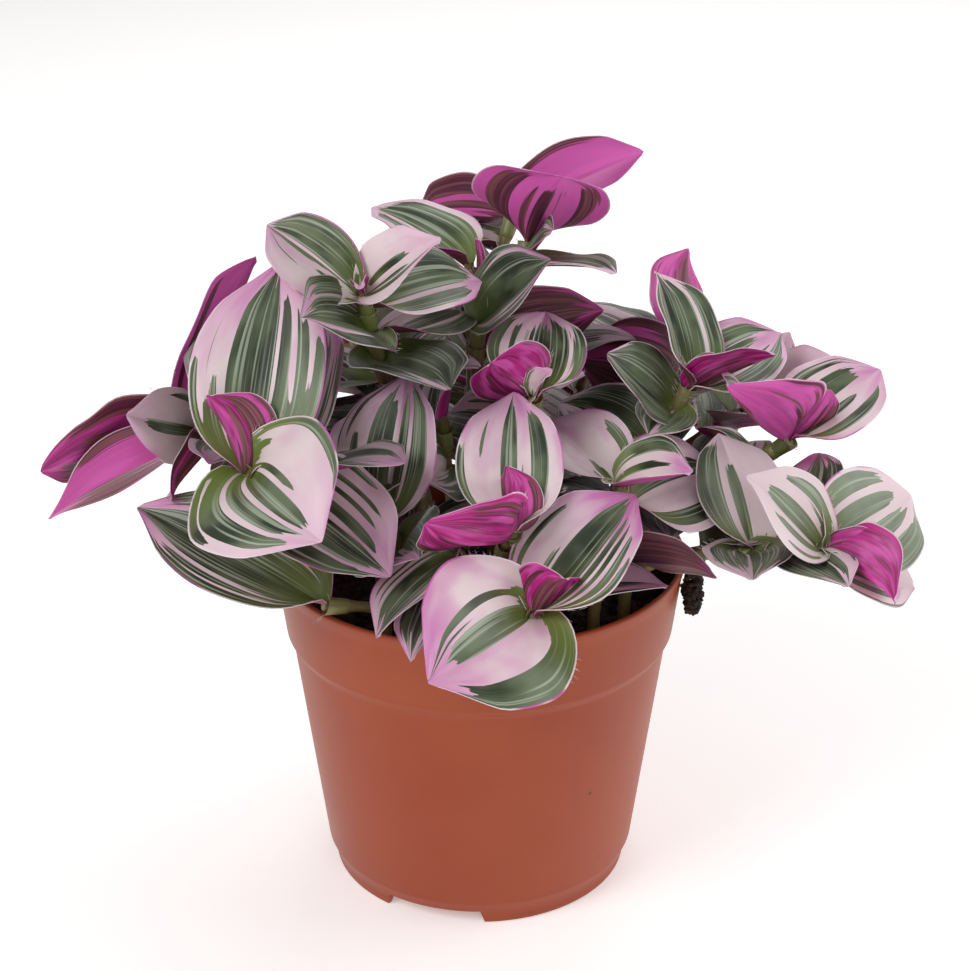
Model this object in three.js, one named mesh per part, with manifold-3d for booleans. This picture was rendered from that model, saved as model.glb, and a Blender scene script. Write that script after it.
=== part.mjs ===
// A striped tradescantia in a moulded nursery pot, standing on a surface.
// Millimetres, +Z up. The origin is on the pot's axis, where its foot ring stands on the surface.
// The pot, the soil and each leafy stem are solids of their own. A leafy stem has its leaves fused to it.
import * as THREE from "three";
import { mergeVertices } from "three/addons/utils/BufferGeometryUtils.js";
import Module from "manifold-3d";

const wasm = await Module();
wasm.setup();

// Driving dimensions of the pot: a 12 cm thin-walled pot with a collar under its rim
const POT_HEIGHT = 101;
const RIM_RADIUS = 60;
const LIP_ROUNDING = 0.9;
const COLLAR_HEIGHT = 22;
const COLLAR_FOOT_RADIUS = 57.3;
const COLLAR_STEP_HEIGHT = 4;
const BODY_TOP_RADIUS = 55.4;
const BODY_FOOT_RADIUS = 46.7;
const CORNER_HEIGHT = 8;
const FOOT_RADIUS = 44.4;
const FOOT_WIDTH = 2.2;
const WALL = 1.2;
const FLOOR_UNDERSIDE = 4.4;
const POT_SEGMENTS = 30;
const FOOT_NOTCHES = 3;
const NOTCH_ANGLE = 36;
const NOTCH_START = -126;
const DRAIN_HOLES = 5;
const DRAIN_HOLE_RADIUS = 4.5;
const DRAIN_CIRCLE_RADIUS = 33;

// Driving dimensions of the soil
const SOIL_TOP = 92;
const SOIL_RELIEF = 1.1;
const SOIL_SINK = 3.5;
const SOIL_RINGS = [1, 0.85, 0.6, 0.3, 0];
const ROOT_DEPTH = 20;
const HOLE_CLEARANCE = 0.6;
const HOLE_SIDES = 6;

// Driving dimensions of the plant
const STEM_RADIUS = 1.9;
const STEM_SIDES = 5;
const STEM_STEP = 13;
const STEM_COLLAR = 4;
const STEM_SWEEP = 0.38;
const BLADE_THICKNESS = 0.8;
const BLADE_FULLEST = 0.43;
const BLADE_BASE_POWER = 0.52;
const BLADE_TIP_POWER = 0.66;
const FOOT_HALF_WIDTH = 0.9;
const STRAIGHT_ARCH = 0.5;
const CLASP_ANGLE = 78;
const CLASP_FADE = 0.09;
const CLASP_HALF_GAP = 1.4;
const CLEARANCE = 0.35;
const BEND_STEP = 6;
const SMOOTHING = 0.12;
const LAYOUT_SEED = 20;

const degrees = THREE.MathUtils.degToRad;

// Solids for joining and cutting

function toSolid(geometry) {
  const bare = geometry.index ? geometry.toNonIndexed() : geometry.clone();
  bare.deleteAttribute("normal");
  bare.deleteAttribute("uv");
  const merged = mergeVertices(bare, 1e-4);
  const corners = [];
  const index = merged.index.array;
  for (let i = 0; i < index.length; i += 3) {
    const [a, b, c] = [index[i], index[i + 1], index[i + 2]];
    if (a !== b && b !== c && c !== a) corners.push(a, b, c);
  }
  const mesh = new wasm.Mesh({
    numProp: 3,
    vertProperties: new Float32Array(merged.attributes.position.array),
    triVerts: new Uint32Array(corners),
  });
  return new wasm.Manifold(mesh);
}

function toGeometry(solid) {
  const mesh = solid.getMesh();
  const geometry = new THREE.BufferGeometry();
  geometry.setAttribute("position", new THREE.BufferAttribute(mesh.vertProperties, 3));
  geometry.setIndex(new THREE.BufferAttribute(mesh.triVerts, 1));
  geometry.computeVertexNormals();
  return geometry;
}

// The outer body of a joined solid, without the loose scraps and the sealed hollows that joining leaves
function outerBody(solid) {
  return solid.decompose().reduce((most, piece) => (piece.volume() > most.volume() ? piece : most));
}

// A profile of [radius, height] points, turned about the vertical axis
function turned(profile, segments) {
  const points = profile.map(([radius, height]) => new THREE.Vector2(radius, height));
  return new THREE.LatheGeometry(points, segments).rotateX(Math.PI / 2);
}

function uprightCylinder(x, y, low, high, radius, sides) {
  const geometry = new THREE.CylinderGeometry(radius, radius, high - low, sides).rotateX(Math.PI / 2);
  return toSolid(geometry.translate(x, y, (low + high) / 2));
}

// The pot

const COLLAR_FOOT = POT_HEIGHT - COLLAR_HEIGHT;
const BODY_TOP = COLLAR_FOOT - COLLAR_STEP_HEIGHT;
const FLOOR_TOP = FLOOR_UNDERSIDE + WALL;

// Radius of the pot's inner wall at a height above its rounded corner
function innerRadius(height) {
  const levels = [
    [CORNER_HEIGHT, BODY_FOOT_RADIUS],
    [BODY_TOP, BODY_TOP_RADIUS],
    [COLLAR_FOOT, COLLAR_FOOT_RADIUS],
    [POT_HEIGHT, RIM_RADIUS],
  ];
  const above = Math.max(1, levels.findIndex(([level]) => level >= height));
  const [[low, lowRadius], [high, highRadius]] = [levels[above - 1], levels[above]];
  return lowRadius + ((highRadius - lowRadius) * (height - low)) / (high - low) - WALL;
}

function potProfile() {
  const outside = [
    [0, FLOOR_UNDERSIDE],
    [FOOT_RADIUS - FOOT_WIDTH - 0.6, FLOOR_UNDERSIDE],
    [FOOT_RADIUS - FOOT_WIDTH, 0],
    [FOOT_RADIUS, 0],
    [FOOT_RADIUS + 1.3, CORNER_HEIGHT * 0.22],
    [BODY_FOOT_RADIUS - 0.3, CORNER_HEIGHT * 0.6],
    [BODY_FOOT_RADIUS, CORNER_HEIGHT],
    [BODY_TOP_RADIUS, BODY_TOP],
    [COLLAR_FOOT_RADIUS - 0.6, BODY_TOP + COLLAR_STEP_HEIGHT * 0.45],
    [COLLAR_FOOT_RADIUS, COLLAR_FOOT],
    [RIM_RADIUS - 0.3, POT_HEIGHT - 3.2],
    [RIM_RADIUS + 0.3, POT_HEIGHT - 1.6],
  ];
  const lip = [20, 90, 160].map((angle) => [
    RIM_RADIUS - LIP_ROUNDING + 0.3 + LIP_ROUNDING * Math.cos(degrees(angle)),
    POT_HEIGHT - LIP_ROUNDING + LIP_ROUNDING * Math.sin(degrees(angle)),
  ]);
  const inside = [
    [innerRadius(POT_HEIGHT - 4), POT_HEIGHT - 4],
    [innerRadius(COLLAR_FOOT), COLLAR_FOOT],
    [innerRadius(BODY_TOP), BODY_TOP],
    [innerRadius(CORNER_HEIGHT + 2), CORNER_HEIGHT + 2],
    [innerRadius(CORNER_HEIGHT + 2) - 2.4, FLOOR_TOP],
    [0, FLOOR_TOP],
  ];
  return [...outside, ...lip, ...inside];
}

// A ring sector that takes a stretch of the foot ring away, so that water can run out
function footNotch(start) {
  const [from, to] = [degrees(start), degrees(start + NOTCH_ANGLE)];
  const sector = new THREE.Shape();
  sector.absarc(0, 0, BODY_FOOT_RADIUS + 4, from, to, false);
  sector.absarc(0, 0, FOOT_RADIUS - 6, to, from, true);
  const depth = FLOOR_UNDERSIDE + 1 - 0.02;
  return toSolid(new THREE.ExtrudeGeometry(sector, { depth, bevelEnabled: false }).translate(0, 0, -1));
}

function buildPot() {
  let pot = toSolid(turned(potProfile(), POT_SEGMENTS));
  for (let i = 0; i < FOOT_NOTCHES; i += 1) {
    pot = pot.subtract(footNotch(NOTCH_START + (i * 360) / FOOT_NOTCHES));
  }
  for (let i = 0; i < DRAIN_HOLES; i += 1) {
    const angle = (i * 2 * Math.PI) / DRAIN_HOLES;
    const [x, y] = [DRAIN_CIRCLE_RADIUS * Math.cos(angle), DRAIN_CIRCLE_RADIUS * Math.sin(angle)];
    pot = pot.subtract(uprightCylinder(x, y, 0, FLOOR_TOP + 1, DRAIN_HOLE_RADIUS, 10));
  }
  return pot;
}

// The soil

// Height of the soil's crumbly surface over its level, which sinks towards the wall
function soilBump(x, y) {
  const slow = Math.sin(0.16 * x + 1.3) * Math.cos(0.13 * y - 0.4);
  const quick = Math.sin(0.41 * x - 0.33 * y) * Math.cos(0.27 * x + 0.47 * y);
  const sink = (SOIL_SINK - 2 * SOIL_RELIEF) * (Math.hypot(x, y) / RIM_RADIUS) ** 4;
  return SOIL_RELIEF * (slow + 0.7 * quick) - sink;
}

function buildSoil(stems) {
  const gap = 0.3;
  const top = innerRadius(SOIL_TOP - SOIL_SINK) - gap;
  const profile = [
    [0, FLOOR_TOP + gap],
    [innerRadius(CORNER_HEIGHT + 2) - 2.4 - gap, FLOOR_TOP + gap],
    [innerRadius(CORNER_HEIGHT + 2) - gap, CORNER_HEIGHT + 2 + gap],
    [innerRadius(BODY_TOP) - gap, BODY_TOP],
    [innerRadius(COLLAR_FOOT) - gap, COLLAR_FOOT],
    ...SOIL_RINGS.map((share) => [top * share, SOIL_TOP]),
  ];
  const geometry = turned(profile, POT_SEGMENTS);
  const position = geometry.attributes.position;
  for (let i = 0; i < position.count; i += 1) {
    if (position.getZ(i) > SOIL_TOP - 1) {
      position.setZ(i, SOIL_TOP + soilBump(position.getX(i), position.getY(i)));
    }
  }
  let soil = toSolid(geometry);
  const low = SOIL_TOP - ROOT_DEPTH - HOLE_CLEARANCE;
  for (const { root } of stems) {
    soil = soil.subtract(uprightCylinder(...root, low, SOIL_TOP + 6, STEM_RADIUS + HOLE_CLEARANCE, HOLE_SIDES));
  }
  return soil;
}

// The stems

function direction(heading, rise) {
  const [a, r] = [degrees(heading), degrees(rise)];
  return new THREE.Vector3(Math.cos(r) * Math.cos(a), Math.cos(r) * Math.sin(a), Math.sin(r));
}

// Straight up out of the soil, then one smooth sweep to the tip, which it meets along its heading and rise
function stemCurve({ root, tip, heading, rise }) {
  const foot = new THREE.Vector3(...root, SOIL_TOP - ROOT_DEPTH);
  const collar = new THREE.Vector3(...root, SOIL_TOP + STEM_COLLAR);
  const end = new THREE.Vector3(...tip);
  const reach = STEM_SWEEP * collar.distanceTo(end);
  const curve = new THREE.CurvePath();
  curve.add(new THREE.LineCurve3(foot, collar));
  curve.add(
    new THREE.CubicBezierCurve3(
      collar,
      collar.clone().add(new THREE.Vector3(0, 0, reach)),
      end.clone().addScaledVector(direction(heading, rise), -reach),
      end,
    ),
  );
  return curve;
}

function stemSolid(curve) {
  const section = new THREE.Shape();
  for (let i = 0; i < STEM_SIDES; i += 1) {
    const angle = (i * 2 * Math.PI) / STEM_SIDES;
    const [x, y] = [STEM_RADIUS * Math.cos(angle), STEM_RADIUS * Math.sin(angle)];
    if (i === 0) section.moveTo(x, y);
    else section.lineTo(x, y);
  }
  section.closePath();
  const steps = Math.ceil(curve.getLength() / STEM_STEP);
  return toSolid(new THREE.ExtrudeGeometry(section, { steps, bevelEnabled: false, extrudePath: curve }));
}

// The leaves

// A blade is rounded at its base, fullest below its middle, and runs to a blunt point
const outline = (s) => (s + 0.01) ** BLADE_BASE_POWER * Math.max(0, 1 - s) ** BLADE_TIP_POWER;

// Half of a blade's width at a share s of the way from its base to its tip
function halfWidth(width, s) {
  return ((width / 2) * outline(s)) / outline(BLADE_FULLEST);
}

// The middle surface of a blade: stations from base to tip, each with points across it.
// Its chord runs along X, its width along Y, and its upper face looks along Z.
function bladeSurface(leaf, stations, across) {
  const bend = degrees(leaf.arch || STRAIGHT_ARCH);
  const radius = leaf.length / (2 * Math.sin(bend / 2));
  return stations.map((s) => {
    const slope = bend * (0.5 - s);
    const spine = new THREE.Vector3(
      radius * (Math.sin(bend / 2) - Math.sin(slope)),
      0,
      radius * (Math.cos(slope) - Math.cos(bend / 2)),
    );
    const half = s === 0 ? FOOT_HALF_WIDTH : halfWidth(leaf.width, s);
    const wanted = degrees(leaf.fold + (CLASP_ANGLE - leaf.fold) * Math.exp(-s / CLASP_FADE));
    const widest = Math.acos(Math.min(1, CLASP_HALF_GAP / Math.max(half, 1e-6)));
    const fold = Math.min(wanted, widest);
    return across.map((t) => {
      const lift = half * Math.abs(t) ** 1.5 * Math.sin(fold);
      return new THREE.Vector3(
        spine.x - lift * Math.sin(slope),
        half * t * Math.cos(fold),
        spine.z + lift * Math.cos(slope),
      );
    });
  });
}

// The stations of a whole blade, and of the blade without its foot, where it wraps its stem
const WHOLE_BLADE = [0, 0.2, 0.65, 1];
const FREE_BLADE = [0.36, 0.65, 1];

// Turns a leaf's own axes to its heading, its rise and its turn about its chord, at its base
function leafPlace(base, leaf) {
  const chord = direction(leaf.heading, leaf.rise);
  const upright = direction(leaf.heading, leaf.rise + 90);
  const face = upright.applyAxisAngle(chord, degrees(leaf.turn));
  const side = new THREE.Vector3().crossVectors(face, chord);
  return new THREE.Matrix4().makeBasis(chord, side, face).setPosition(base);
}

// A closed blade: both faces lie half the thickness off the middle surface, with alike triangles on both
function bladeSolid(base, leaf, stations) {
  const across = [-1, 0, 1];
  const place = leafPlace(base, leaf);
  const rows = bladeSurface(leaf, stations, across);
  const tip = rows.length - 1;
  const positions = [];
  const points = rows.map((row, i) =>
    row.map((point, j) => {
      const [before, after] = [rows[Math.max(0, i - 1)][j], rows[Math.min(tip, i + 1)][j]];
      const [left, right] = [row[Math.max(0, j - 1)], row[Math.min(across.length - 1, j + 1)]];
      const along = new THREE.Vector3().subVectors(after, before);
      const over = new THREE.Vector3().subVectors(right, left);
      const normal = i === tip ? new THREE.Vector3(0, 0, 1) : along.cross(over).normalize();
      const half = BLADE_THICKNESS / 2;
      const upper = point.clone().addScaledVector(normal, half).applyMatrix4(place);
      const lower = point.clone().addScaledVector(normal, -half).applyMatrix4(place);
      return { upper, lower };
    }),
  );
  const triangle = (a, b, c) => positions.push(...a, ...b, ...c);
  const patch = (a, b, c, d) => {
    triangle(a, b, c);
    triangle(a, c, d);
  };
  const last = across.length - 1;
  for (let i = 0; i < tip; i += 1) {
    for (let j = 0; j < last; j += 1) {
      const [a, b, c, d] = [points[i][j], points[i + 1][j], points[i + 1][j + 1], points[i][j + 1]];
      patch(a.upper, b.upper, c.upper, d.upper);
      patch(a.lower, d.lower, c.lower, b.lower);
      if (i === 0) patch(a.upper, d.upper, d.lower, a.lower);
    }
    const [a, b] = [points[i][0], points[i + 1][0]];
    const [c, d] = [points[i][last], points[i + 1][last]];
    patch(a.upper, a.lower, b.lower, b.upper);
    patch(c.upper, d.upper, d.lower, c.lower);
  }
  const geometry = new THREE.BufferGeometry();
  geometry.setAttribute("position", new THREE.Float32BufferAttribute(positions, 3));
  return toSolid(geometry);
}

// The plant's layout

// A leaf, by how far below the stem's tip it grows, its chord's heading and rise, its size, its turn about
// its chord, how far it arches over, and how far its two halves fold up
const leaf = (below, heading, rise, length, width, turn, arch, fold) => ({
  below,
  heading,
  rise,
  length,
  width,
  turn,
  arch,
  fold,
});

const stem = (name, root, tip, heading, rise, leaves) => ({ name, root, tip, heading, rise, leaves });

const FRONT_STEMS = [
  stem("leafy_stem_over_rim", [12, -38], [15, -63, 111], -75, 15, [
    leaf(2, 39, 36, 44, 34, 15, 10, 14),
    leaf(4, -127, -1, 44, 46, -40, 40, 8),
    leaf(0, -29, 59, 17, 22, -55, 30, 36),
    leaf(7, 62, 36, 36, 34, -15, 10, 14),
  ]),
  stem("leafy_stem_front_left", [-28, -16], [-63, -45, 145], -125, 30, [
    leaf(3, 78, 53, 60, 38, 5, 8, 12),
    leaf(4, -61, -1, 44, 46, 35, 55, 10),
    leaf(0, 152, 65, 23, 26, 95, 35, 38),
    leaf(11, 71, 43, 54, 34, -5, 10, 14),
    leaf(14, 120, 46, 56, 34, 15, 10, 14),
    leaf(12, -40, -19, 46, 36, 20, 25, 12),
    leaf(19, -38, -6, 46, 32, -5, 20, 12),
  ]),
  stem("leafy_stem_far_right", [41, -26], [95, -40, 120], -30, 25, [
    leaf(0, -48, -13, 26, 28, -70, 0, 50),
    leaf(2, -163, 49, 34, 26, -50, 10, 22),
    leaf(2, 37, 11, 36, 34, 45, 10, 16),
    leaf(5, 11, -6, 34, 32, 25, 20, 12),
    leaf(0, -29, 15, 17, 12, -55, 0, 35),
    leaf(21, 98, 33, 38, 28, 5, 20, 12),
    leaf(11, 62, 30, 40, 28, -25, 15, 12),
    leaf(14, -55, 1, 30, 24, 0, 15, 12),
    leaf(24, -92, 8, 30, 26, 5, 20, 12),
  ]),
  stem("leafy_stem_front_middle", [2, -30], [9, -50, 130], -90, 35, [
    leaf(2, 89, 44, 42, 30, 0, 10, 12),
    leaf(0, 100, 66, 18, 17, 135, 20, 30),
    leaf(2, -131, 25, 38, 34, 45, -60, 20),
  ]),
  stem("leafy_stem_right_front", [32, -34], [37, -28, 134], 180, 40, [
    leaf(2, 125, 15, 36, 27, -15, 5, 25),
    leaf(1, -38, 24, 27, 26, 20, 5, 38),
    leaf(8, 34, 9, 34, 34, 35, 20, 12),
    leaf(24, -23, 13, 37, 26, -50, 15, 14),
  ]),
  stem("leafy_stem_top_left", [-13, -4], [-31, -15, 185], -95, 70, [
    leaf(3, 148, 25, 36, 28, -55, 5, 42),
    leaf(1, -30, 41, 31, 23, 55, 0, 32),
    leaf(0, -97, 34, 10, 8, 20, 0, 50),
    leaf(6, 25, 7, 35, 34, 15, 20, 14),
    leaf(16, 51, -5, 42, 34, 15, 25, 14),
    leaf(24, -83, 9, 40, 32, 0, 20, 12),
    leaf(14, -120, 25, 36, 30, -35, 20, 14),
  ]),
  stem("leafy_stem_right_outer", [44, -4], [88, -10, 140], -15, 45, [
    leaf(1, 32, 26, 36, 30, 20, 10, 16),
    leaf(0, -18, 45, 20, 18, -60, 0, 30),
    leaf(1, -143, 42, 34, 42, 15, -35, 42),
    leaf(14, 159, 34, 24, 14, 15, 0, 50),
  ]),
  stem("leafy_stem_right_upper", [34, 8], [60, 5, 150], -20, 70, [
    leaf(1, 115, 55, 36, 30, 25, 5, 28),
    leaf(2, 25, 15, 38, 28, 25, 10, 18),
    leaf(4, 132, 3, 40, 36, 95, 10, 15),
    leaf(3, -38, 24, 32, 20, -25, 10, 30),
    leaf(0, -15, 50, 14, 10, -40, 0, 45),
    leaf(10, -147, 44, 34, 24, -50, 20, 14),
    leaf(8, -114, 20, 24, 18, -15, 10, 12),
  ]),
  stem("leafy_stem_middle", [10, -14], [15, -18, 156], -80, 60, [
    leaf(2, 82, 29, 34, 29, 5, 10, 14),
    leaf(1, -145, 37, 19, 26, 65, 30, 20),
    leaf(0, -71, 52, 14, 10, 85, 0, 35),
    leaf(10, 131, -11, 34, 24, -30, 15, 14),
  ]),
  stem("leafy_stem_right_middle", [24, -6], [49, -5, 136], -100, 70, [
    leaf(3, 150, 15, 33, 32, -15, 25, 12),
    leaf(7, 90, 15, 30, 24, 30, 10, 15),
  ]),
  stem("leafy_stem_upper_middle", [4, 4], [0, 9, 168], -60, 76, [
    leaf(1, -27, 46, 32, 28, 45, 10, 22),
    leaf(8, 21, 13, 38, 28, -70, 10, 18),
    leaf(3, -90, 8, 26, 24, 100, 10, 15),
    leaf(2, 91, 51, 28, 15, 70, 0, 45),
  ]),
  stem("leafy_stem_left_middle", [-14, -32], [-28, -38, 134], -90, 60, [
    leaf(3, 89, 27, 40, 28, 0, 15, 12),
    leaf(10, 67, 36, 42, 32, -5, 15, 14),
    leaf(20, -75, 17, 32, 30, 35, 20, 12),
  ]),
  stem("leafy_stem_left_inner", [-6, -16], [-10, -12, 147], -90, 70, [
    leaf(4, 82, 24, 30, 24, -50, 5, 35),
    leaf(16, -110, 16, 28, 22, -55, 15, 12),
  ]),
  stem("leafy_stem_far_left", [-40, 6], [-83, 0, 140], 165, 25, [
    leaf(1, 63, 50, 54, 28, -80, 10, 15),
    leaf(1, -140, 0, 49, 32, 65, 15, 12),
    leaf(6, -148, -15, 52, 30, 60, 10, 14),
    leaf(3, -121, 27, 34, 22, -80, 10, 10),
    leaf(9, -124, -12, 30, 20, 70, 10, 20),
  ]),
  stem("leafy_stem_top", [8, 24], [14, 32, 185], 60, 60, [
    leaf(1, -65, 50, 34, 42, -25, 15, 14),
    leaf(8, -51, 13, 42, 22, -5, 10, 10),
    leaf(12, -65, 27, 30, 24, 40, 15, 12),
  ]),
  stem("leafy_stem_top_back", [-4, 30], [11, 50, 190], 60, 50, [
    leaf(1, 13, 21, 42, 30, -60, 0, 12),
    leaf(4, 144, -8, 36, 28, 55, 5, 20),
  ]),
  stem("leafy_stem_upper_left", [-2, 18], [-3, 24, 181], 100, 80, [leaf(2, 139, 15, 40, 30, 0, 10, 20)]),
  stem("leafy_stem_right_behind", [28, 24], [63, 38, 156], 60, 60, [leaf(3, 87, 31, 34, 26, -135, 0, 15)]),
  stem("leafy_stem_low_left", [-26, -38], [-43, -44, 105], -160, 20, [leaf(1, 156, 22, 60, 36, -20, 15, 12)]),
  stem("leafy_stem_low_front", [-4, -44], [-5, -54, 125], -100, 25, [
    leaf(3, -135, -10, 34, 22, 10, 15, 25),
    leaf(3, -118, -31, 34, 22, 25, 10, 20),
  ]),
];

// The stems that stand behind, each with leaves on alternate sides that grow longer away from its tip
const BACK_STEMS = [
  stem("leafy_stem_back_left", [-38, 22], [-72, 48, 122], 155, 25, []),
  stem("leafy_stem_back_left_inner", [-20, 36], [-42, 65, 140], 120, 35, []),
  stem("leafy_stem_back_middle", [4, 44], [-4, 72, 130], 95, 15, []),
  stem("leafy_stem_back_right_inner", [24, 38], [34, 66, 130], 65, 35, []),
  stem("leafy_stem_back_right", [42, 20], [86, 34, 132], 20, 25, []),
  stem("leafy_stem_back_top", [-16, 22], [-34, 34, 160], 130, 60, []),
];

// A repeatable stream of numbers from 0 to 1
function drawing(seed) {
  let state = seed;
  return () => {
    state = (state + 0x6d2b79f5) | 0;
    let mixed = Math.imul(state ^ (state >>> 15), 1 | state);
    mixed = (mixed + Math.imul(mixed ^ (mixed >>> 7), 61 | mixed)) ^ mixed;
    return ((mixed ^ (mixed >>> 14)) >>> 0) / 4294967296;
  };
}

// Leaves from the tip down: each one turns further from the stem's heading, lies flatter and is longer
function tipLeaves(heading, draw) {
  return [24, 35, 41, 45, 47].map((length, i) => {
    const side = i % 2 === 0 ? 1 : -1;
    const spread = side * (30 + 13 * i) + 20 * (draw() - 0.5);
    const rise = 46 - 11 * i + 12 * (draw() - 0.5);
    const size = length + 4 * (draw() - 0.5);
    const turn = 30 * (draw() - 0.5);
    return leaf(1 + 5 * i, heading + spread, rise, size, 0.68 * size, turn, 10 + 3 * i, 30 - 4 * i);
  });
}

// Leaves in the shade below, on alternate sides of the stem down to the soil
function shadeLeaves({ leaves, heading }, height, draw) {
  const made = [];
  const first = Math.max(...leaves.map(({ below }) => below)) + 11;
  const start = heading + 90 + 60 * (draw() - 0.5);
  for (let below = first; below < height - 16; below += 17) {
    const side = made.length % 2 === 0 ? 0 : 180;
    const rise = 12 + 20 * (draw() - 0.5);
    const size = 36 + 6 * draw();
    made.push(leaf(below, start + side + 30 * (draw() - 0.5), rise, size, 0.64 * size, 0, 18, 14));
  }
  return made;
}

// The ways to bend a leaf clear of what it would cross, the least change first: it turns by steps in any
// direction, or is smaller. A leaf with no clear place isn't grown.
const BENDS = [1, 0.85, 0.72]
  .flatMap((scale, smaller) => [
    { heading: 0, rise: 0, scale, change: 2.4 * smaller },
    ...[1, 2, 3, 4, 5].flatMap((ring) =>
      [0, 1, 2, 3, 4, 5, 6, 7].map((side) => ({
        heading: BEND_STEP * ring * Math.cos((side * Math.PI) / 4),
        rise: BEND_STEP * ring * Math.sin((side * Math.PI) / 4),
        scale,
        change: ring + 2.4 * smaller,
      })),
    ),
  ])
  .sort((a, b) => a.change - b.change);

const bent = (wanted, { heading, rise, scale }) => ({
  ...wanted,
  heading: wanted.heading + heading,
  rise: wanted.rise + rise,
  length: wanted.length * scale,
  width: wanted.width * scale,
});

function boxesMeet(a, b) {
  return [0, 1, 2].every((i) => a.min[i] < b.max[i] + CLEARANCE && b.min[i] < a.max[i] + CLEARANCE);
}

// Whether a leaf keeps its clearance to all that belongs to another node, and its free blade crosses no other
// free blade of its own node
function isClear(whole, free, owner, others) {
  const box = whole.boundingBox();
  return others.every((other) => {
    if (!boxesMeet(box, other.box)) return true;
    if (other.owner !== owner) return whole.minGap(other.solid, 2 * CLEARANCE) > CLEARANCE;
    return !other.free || free.minGap(other.free, CLEARANCE) > 0;
  });
}

function buildPlant(stems, surroundings) {
  const draw = drawing(LAYOUT_SEED);
  const placed = surroundings.map((solid) => ({ owner: "pot", solid, box: solid.boundingBox() }));
  const keep = (owner, solid, free) => placed.push({ owner, solid, free, box: solid.boundingBox() });
  const grown = stems.map((item) => {
    const curve = stemCurve(item);
    keep(item.name, stemSolid(curve));
    return { ...item, curve, height: curve.getLength() - ROOT_DEPTH };
  });
  const grow = (item, leaves) => {
    for (const wanted of leaves) {
      const base = item.curve.getPointAt(1 - wanted.below / (item.height + ROOT_DEPTH));
      for (const bend of BENDS) {
        const whole = bladeSolid(base, bent(wanted, bend), WHOLE_BLADE);
        const free = bladeSolid(base, bent(wanted, bend), FREE_BLADE);
        if (isClear(whole, free, item.name, placed)) {
          keep(item.name, whole, free);
          break;
        }
      }
    }
  };
  for (const item of grown) {
    if (item.leaves.length === 0) item.leaves = tipLeaves(item.heading, draw);
    grow(item, item.leaves);
  }
  for (const item of grown) grow(item, shadeLeaves(item, item.height, draw));
  return grown.map(({ name }) => {
    const pieces = placed.filter(({ owner }) => owner === name).map(({ solid }) => solid);
    const joined = pieces.reduce((whole, piece) => whole.add(piece));
    return { name, solid: outerBody(outerBody(joined).simplify(SMOOTHING)) };
  });
}

// The whole part

const FINISHES = {
  plastic: { color: 0xa85a40, roughness: 0.45, metalness: 0 },
  soil: { color: 0x2e2119, roughness: 0.95, metalness: 0 },
  leaf: { color: 0x8fa283, roughness: 0.5, metalness: 0 },
};

function named(name, solid, finish) {
  const mesh = new THREE.Mesh(toGeometry(solid), new THREE.MeshStandardMaterial(FINISHES[finish]));
  mesh.name = name;
  return mesh;
}

const stems = [...FRONT_STEMS, ...BACK_STEMS];
const pot = buildPot();
const soil = buildSoil(stems);
const part = new THREE.Group();
part.add(named("pot", pot, "plastic"), named("soil", soil, "soil"));
for (const { name, solid } of buildPlant(stems, [pot, soil])) {
  part.add(named(name, solid, "leaf"));
}

export default part;
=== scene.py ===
# Looks of a potted tradescantia: striped leafy stems in potting mix, in a moulded nursery pot.
# The frame is in metres, +Z up. Sizes below are in millimetres, and MM turns them into metres.
import logging
import math
from dataclasses import dataclass, field, replace
from enum import Enum
from typing import Callable, Iterator

import bpy
import numpy as np
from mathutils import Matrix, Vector
from mathutils.kdtree import KDTree


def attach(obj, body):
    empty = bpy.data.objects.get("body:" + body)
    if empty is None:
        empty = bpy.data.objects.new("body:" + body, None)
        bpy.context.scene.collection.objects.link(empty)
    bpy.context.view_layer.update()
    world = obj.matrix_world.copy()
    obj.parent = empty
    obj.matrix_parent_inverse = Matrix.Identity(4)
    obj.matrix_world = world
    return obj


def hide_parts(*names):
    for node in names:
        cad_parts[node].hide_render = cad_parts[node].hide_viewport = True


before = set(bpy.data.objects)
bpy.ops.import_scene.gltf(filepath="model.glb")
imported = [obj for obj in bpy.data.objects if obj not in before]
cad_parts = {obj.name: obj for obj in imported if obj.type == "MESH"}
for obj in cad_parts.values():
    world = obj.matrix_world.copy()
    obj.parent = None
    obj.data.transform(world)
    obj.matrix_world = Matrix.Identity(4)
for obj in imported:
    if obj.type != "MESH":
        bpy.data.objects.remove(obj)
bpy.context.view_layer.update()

MM = 0.001
BODY = "root"
log = logging.getLogger("potted_tradescantia")


# Colour and shader nodes

Source = bpy.types.Node | bpy.types.NodeSocket


def linear(code: str) -> tuple[float, float, float, float]:
    """Turns an sRGB hex colour into linear light.

    Args:
        code: The colour as six hex digits.

    Returns:
        Linear red, green, blue and an alpha of 1.
    """
    parts = [int(code[i : i + 2], 16) / 255 for i in (0, 2, 4)]
    light = [c / 12.92 if c <= 0.04045 else ((c + 0.055) / 1.055) ** 2.4 for c in parts]
    return (*light, 1.0)


def connect(node: bpy.types.Node, inputs: dict) -> None:
    """Gives a node's inputs their values and links.

    Args:
        node: The node.
        inputs: Socket identifier or name to a value, to a hex colour, or to an output socket or a node to
            link from. A node gives its first output that is in use.
    """
    for name, value in inputs.items():
        found = [s for s in node.inputs if s.identifier == name] or [s for s in node.inputs if s.name == name]
        if isinstance(value, bpy.types.Node):
            value = next(s for s in value.outputs if s.enabled)
        if isinstance(value, bpy.types.NodeSocket):
            node.id_data.links.new(value, found[0])
        elif isinstance(value, str) and found[0].type == "RGBA":
            found[0].default_value = linear(value)
        else:
            found[0].default_value = value


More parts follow.
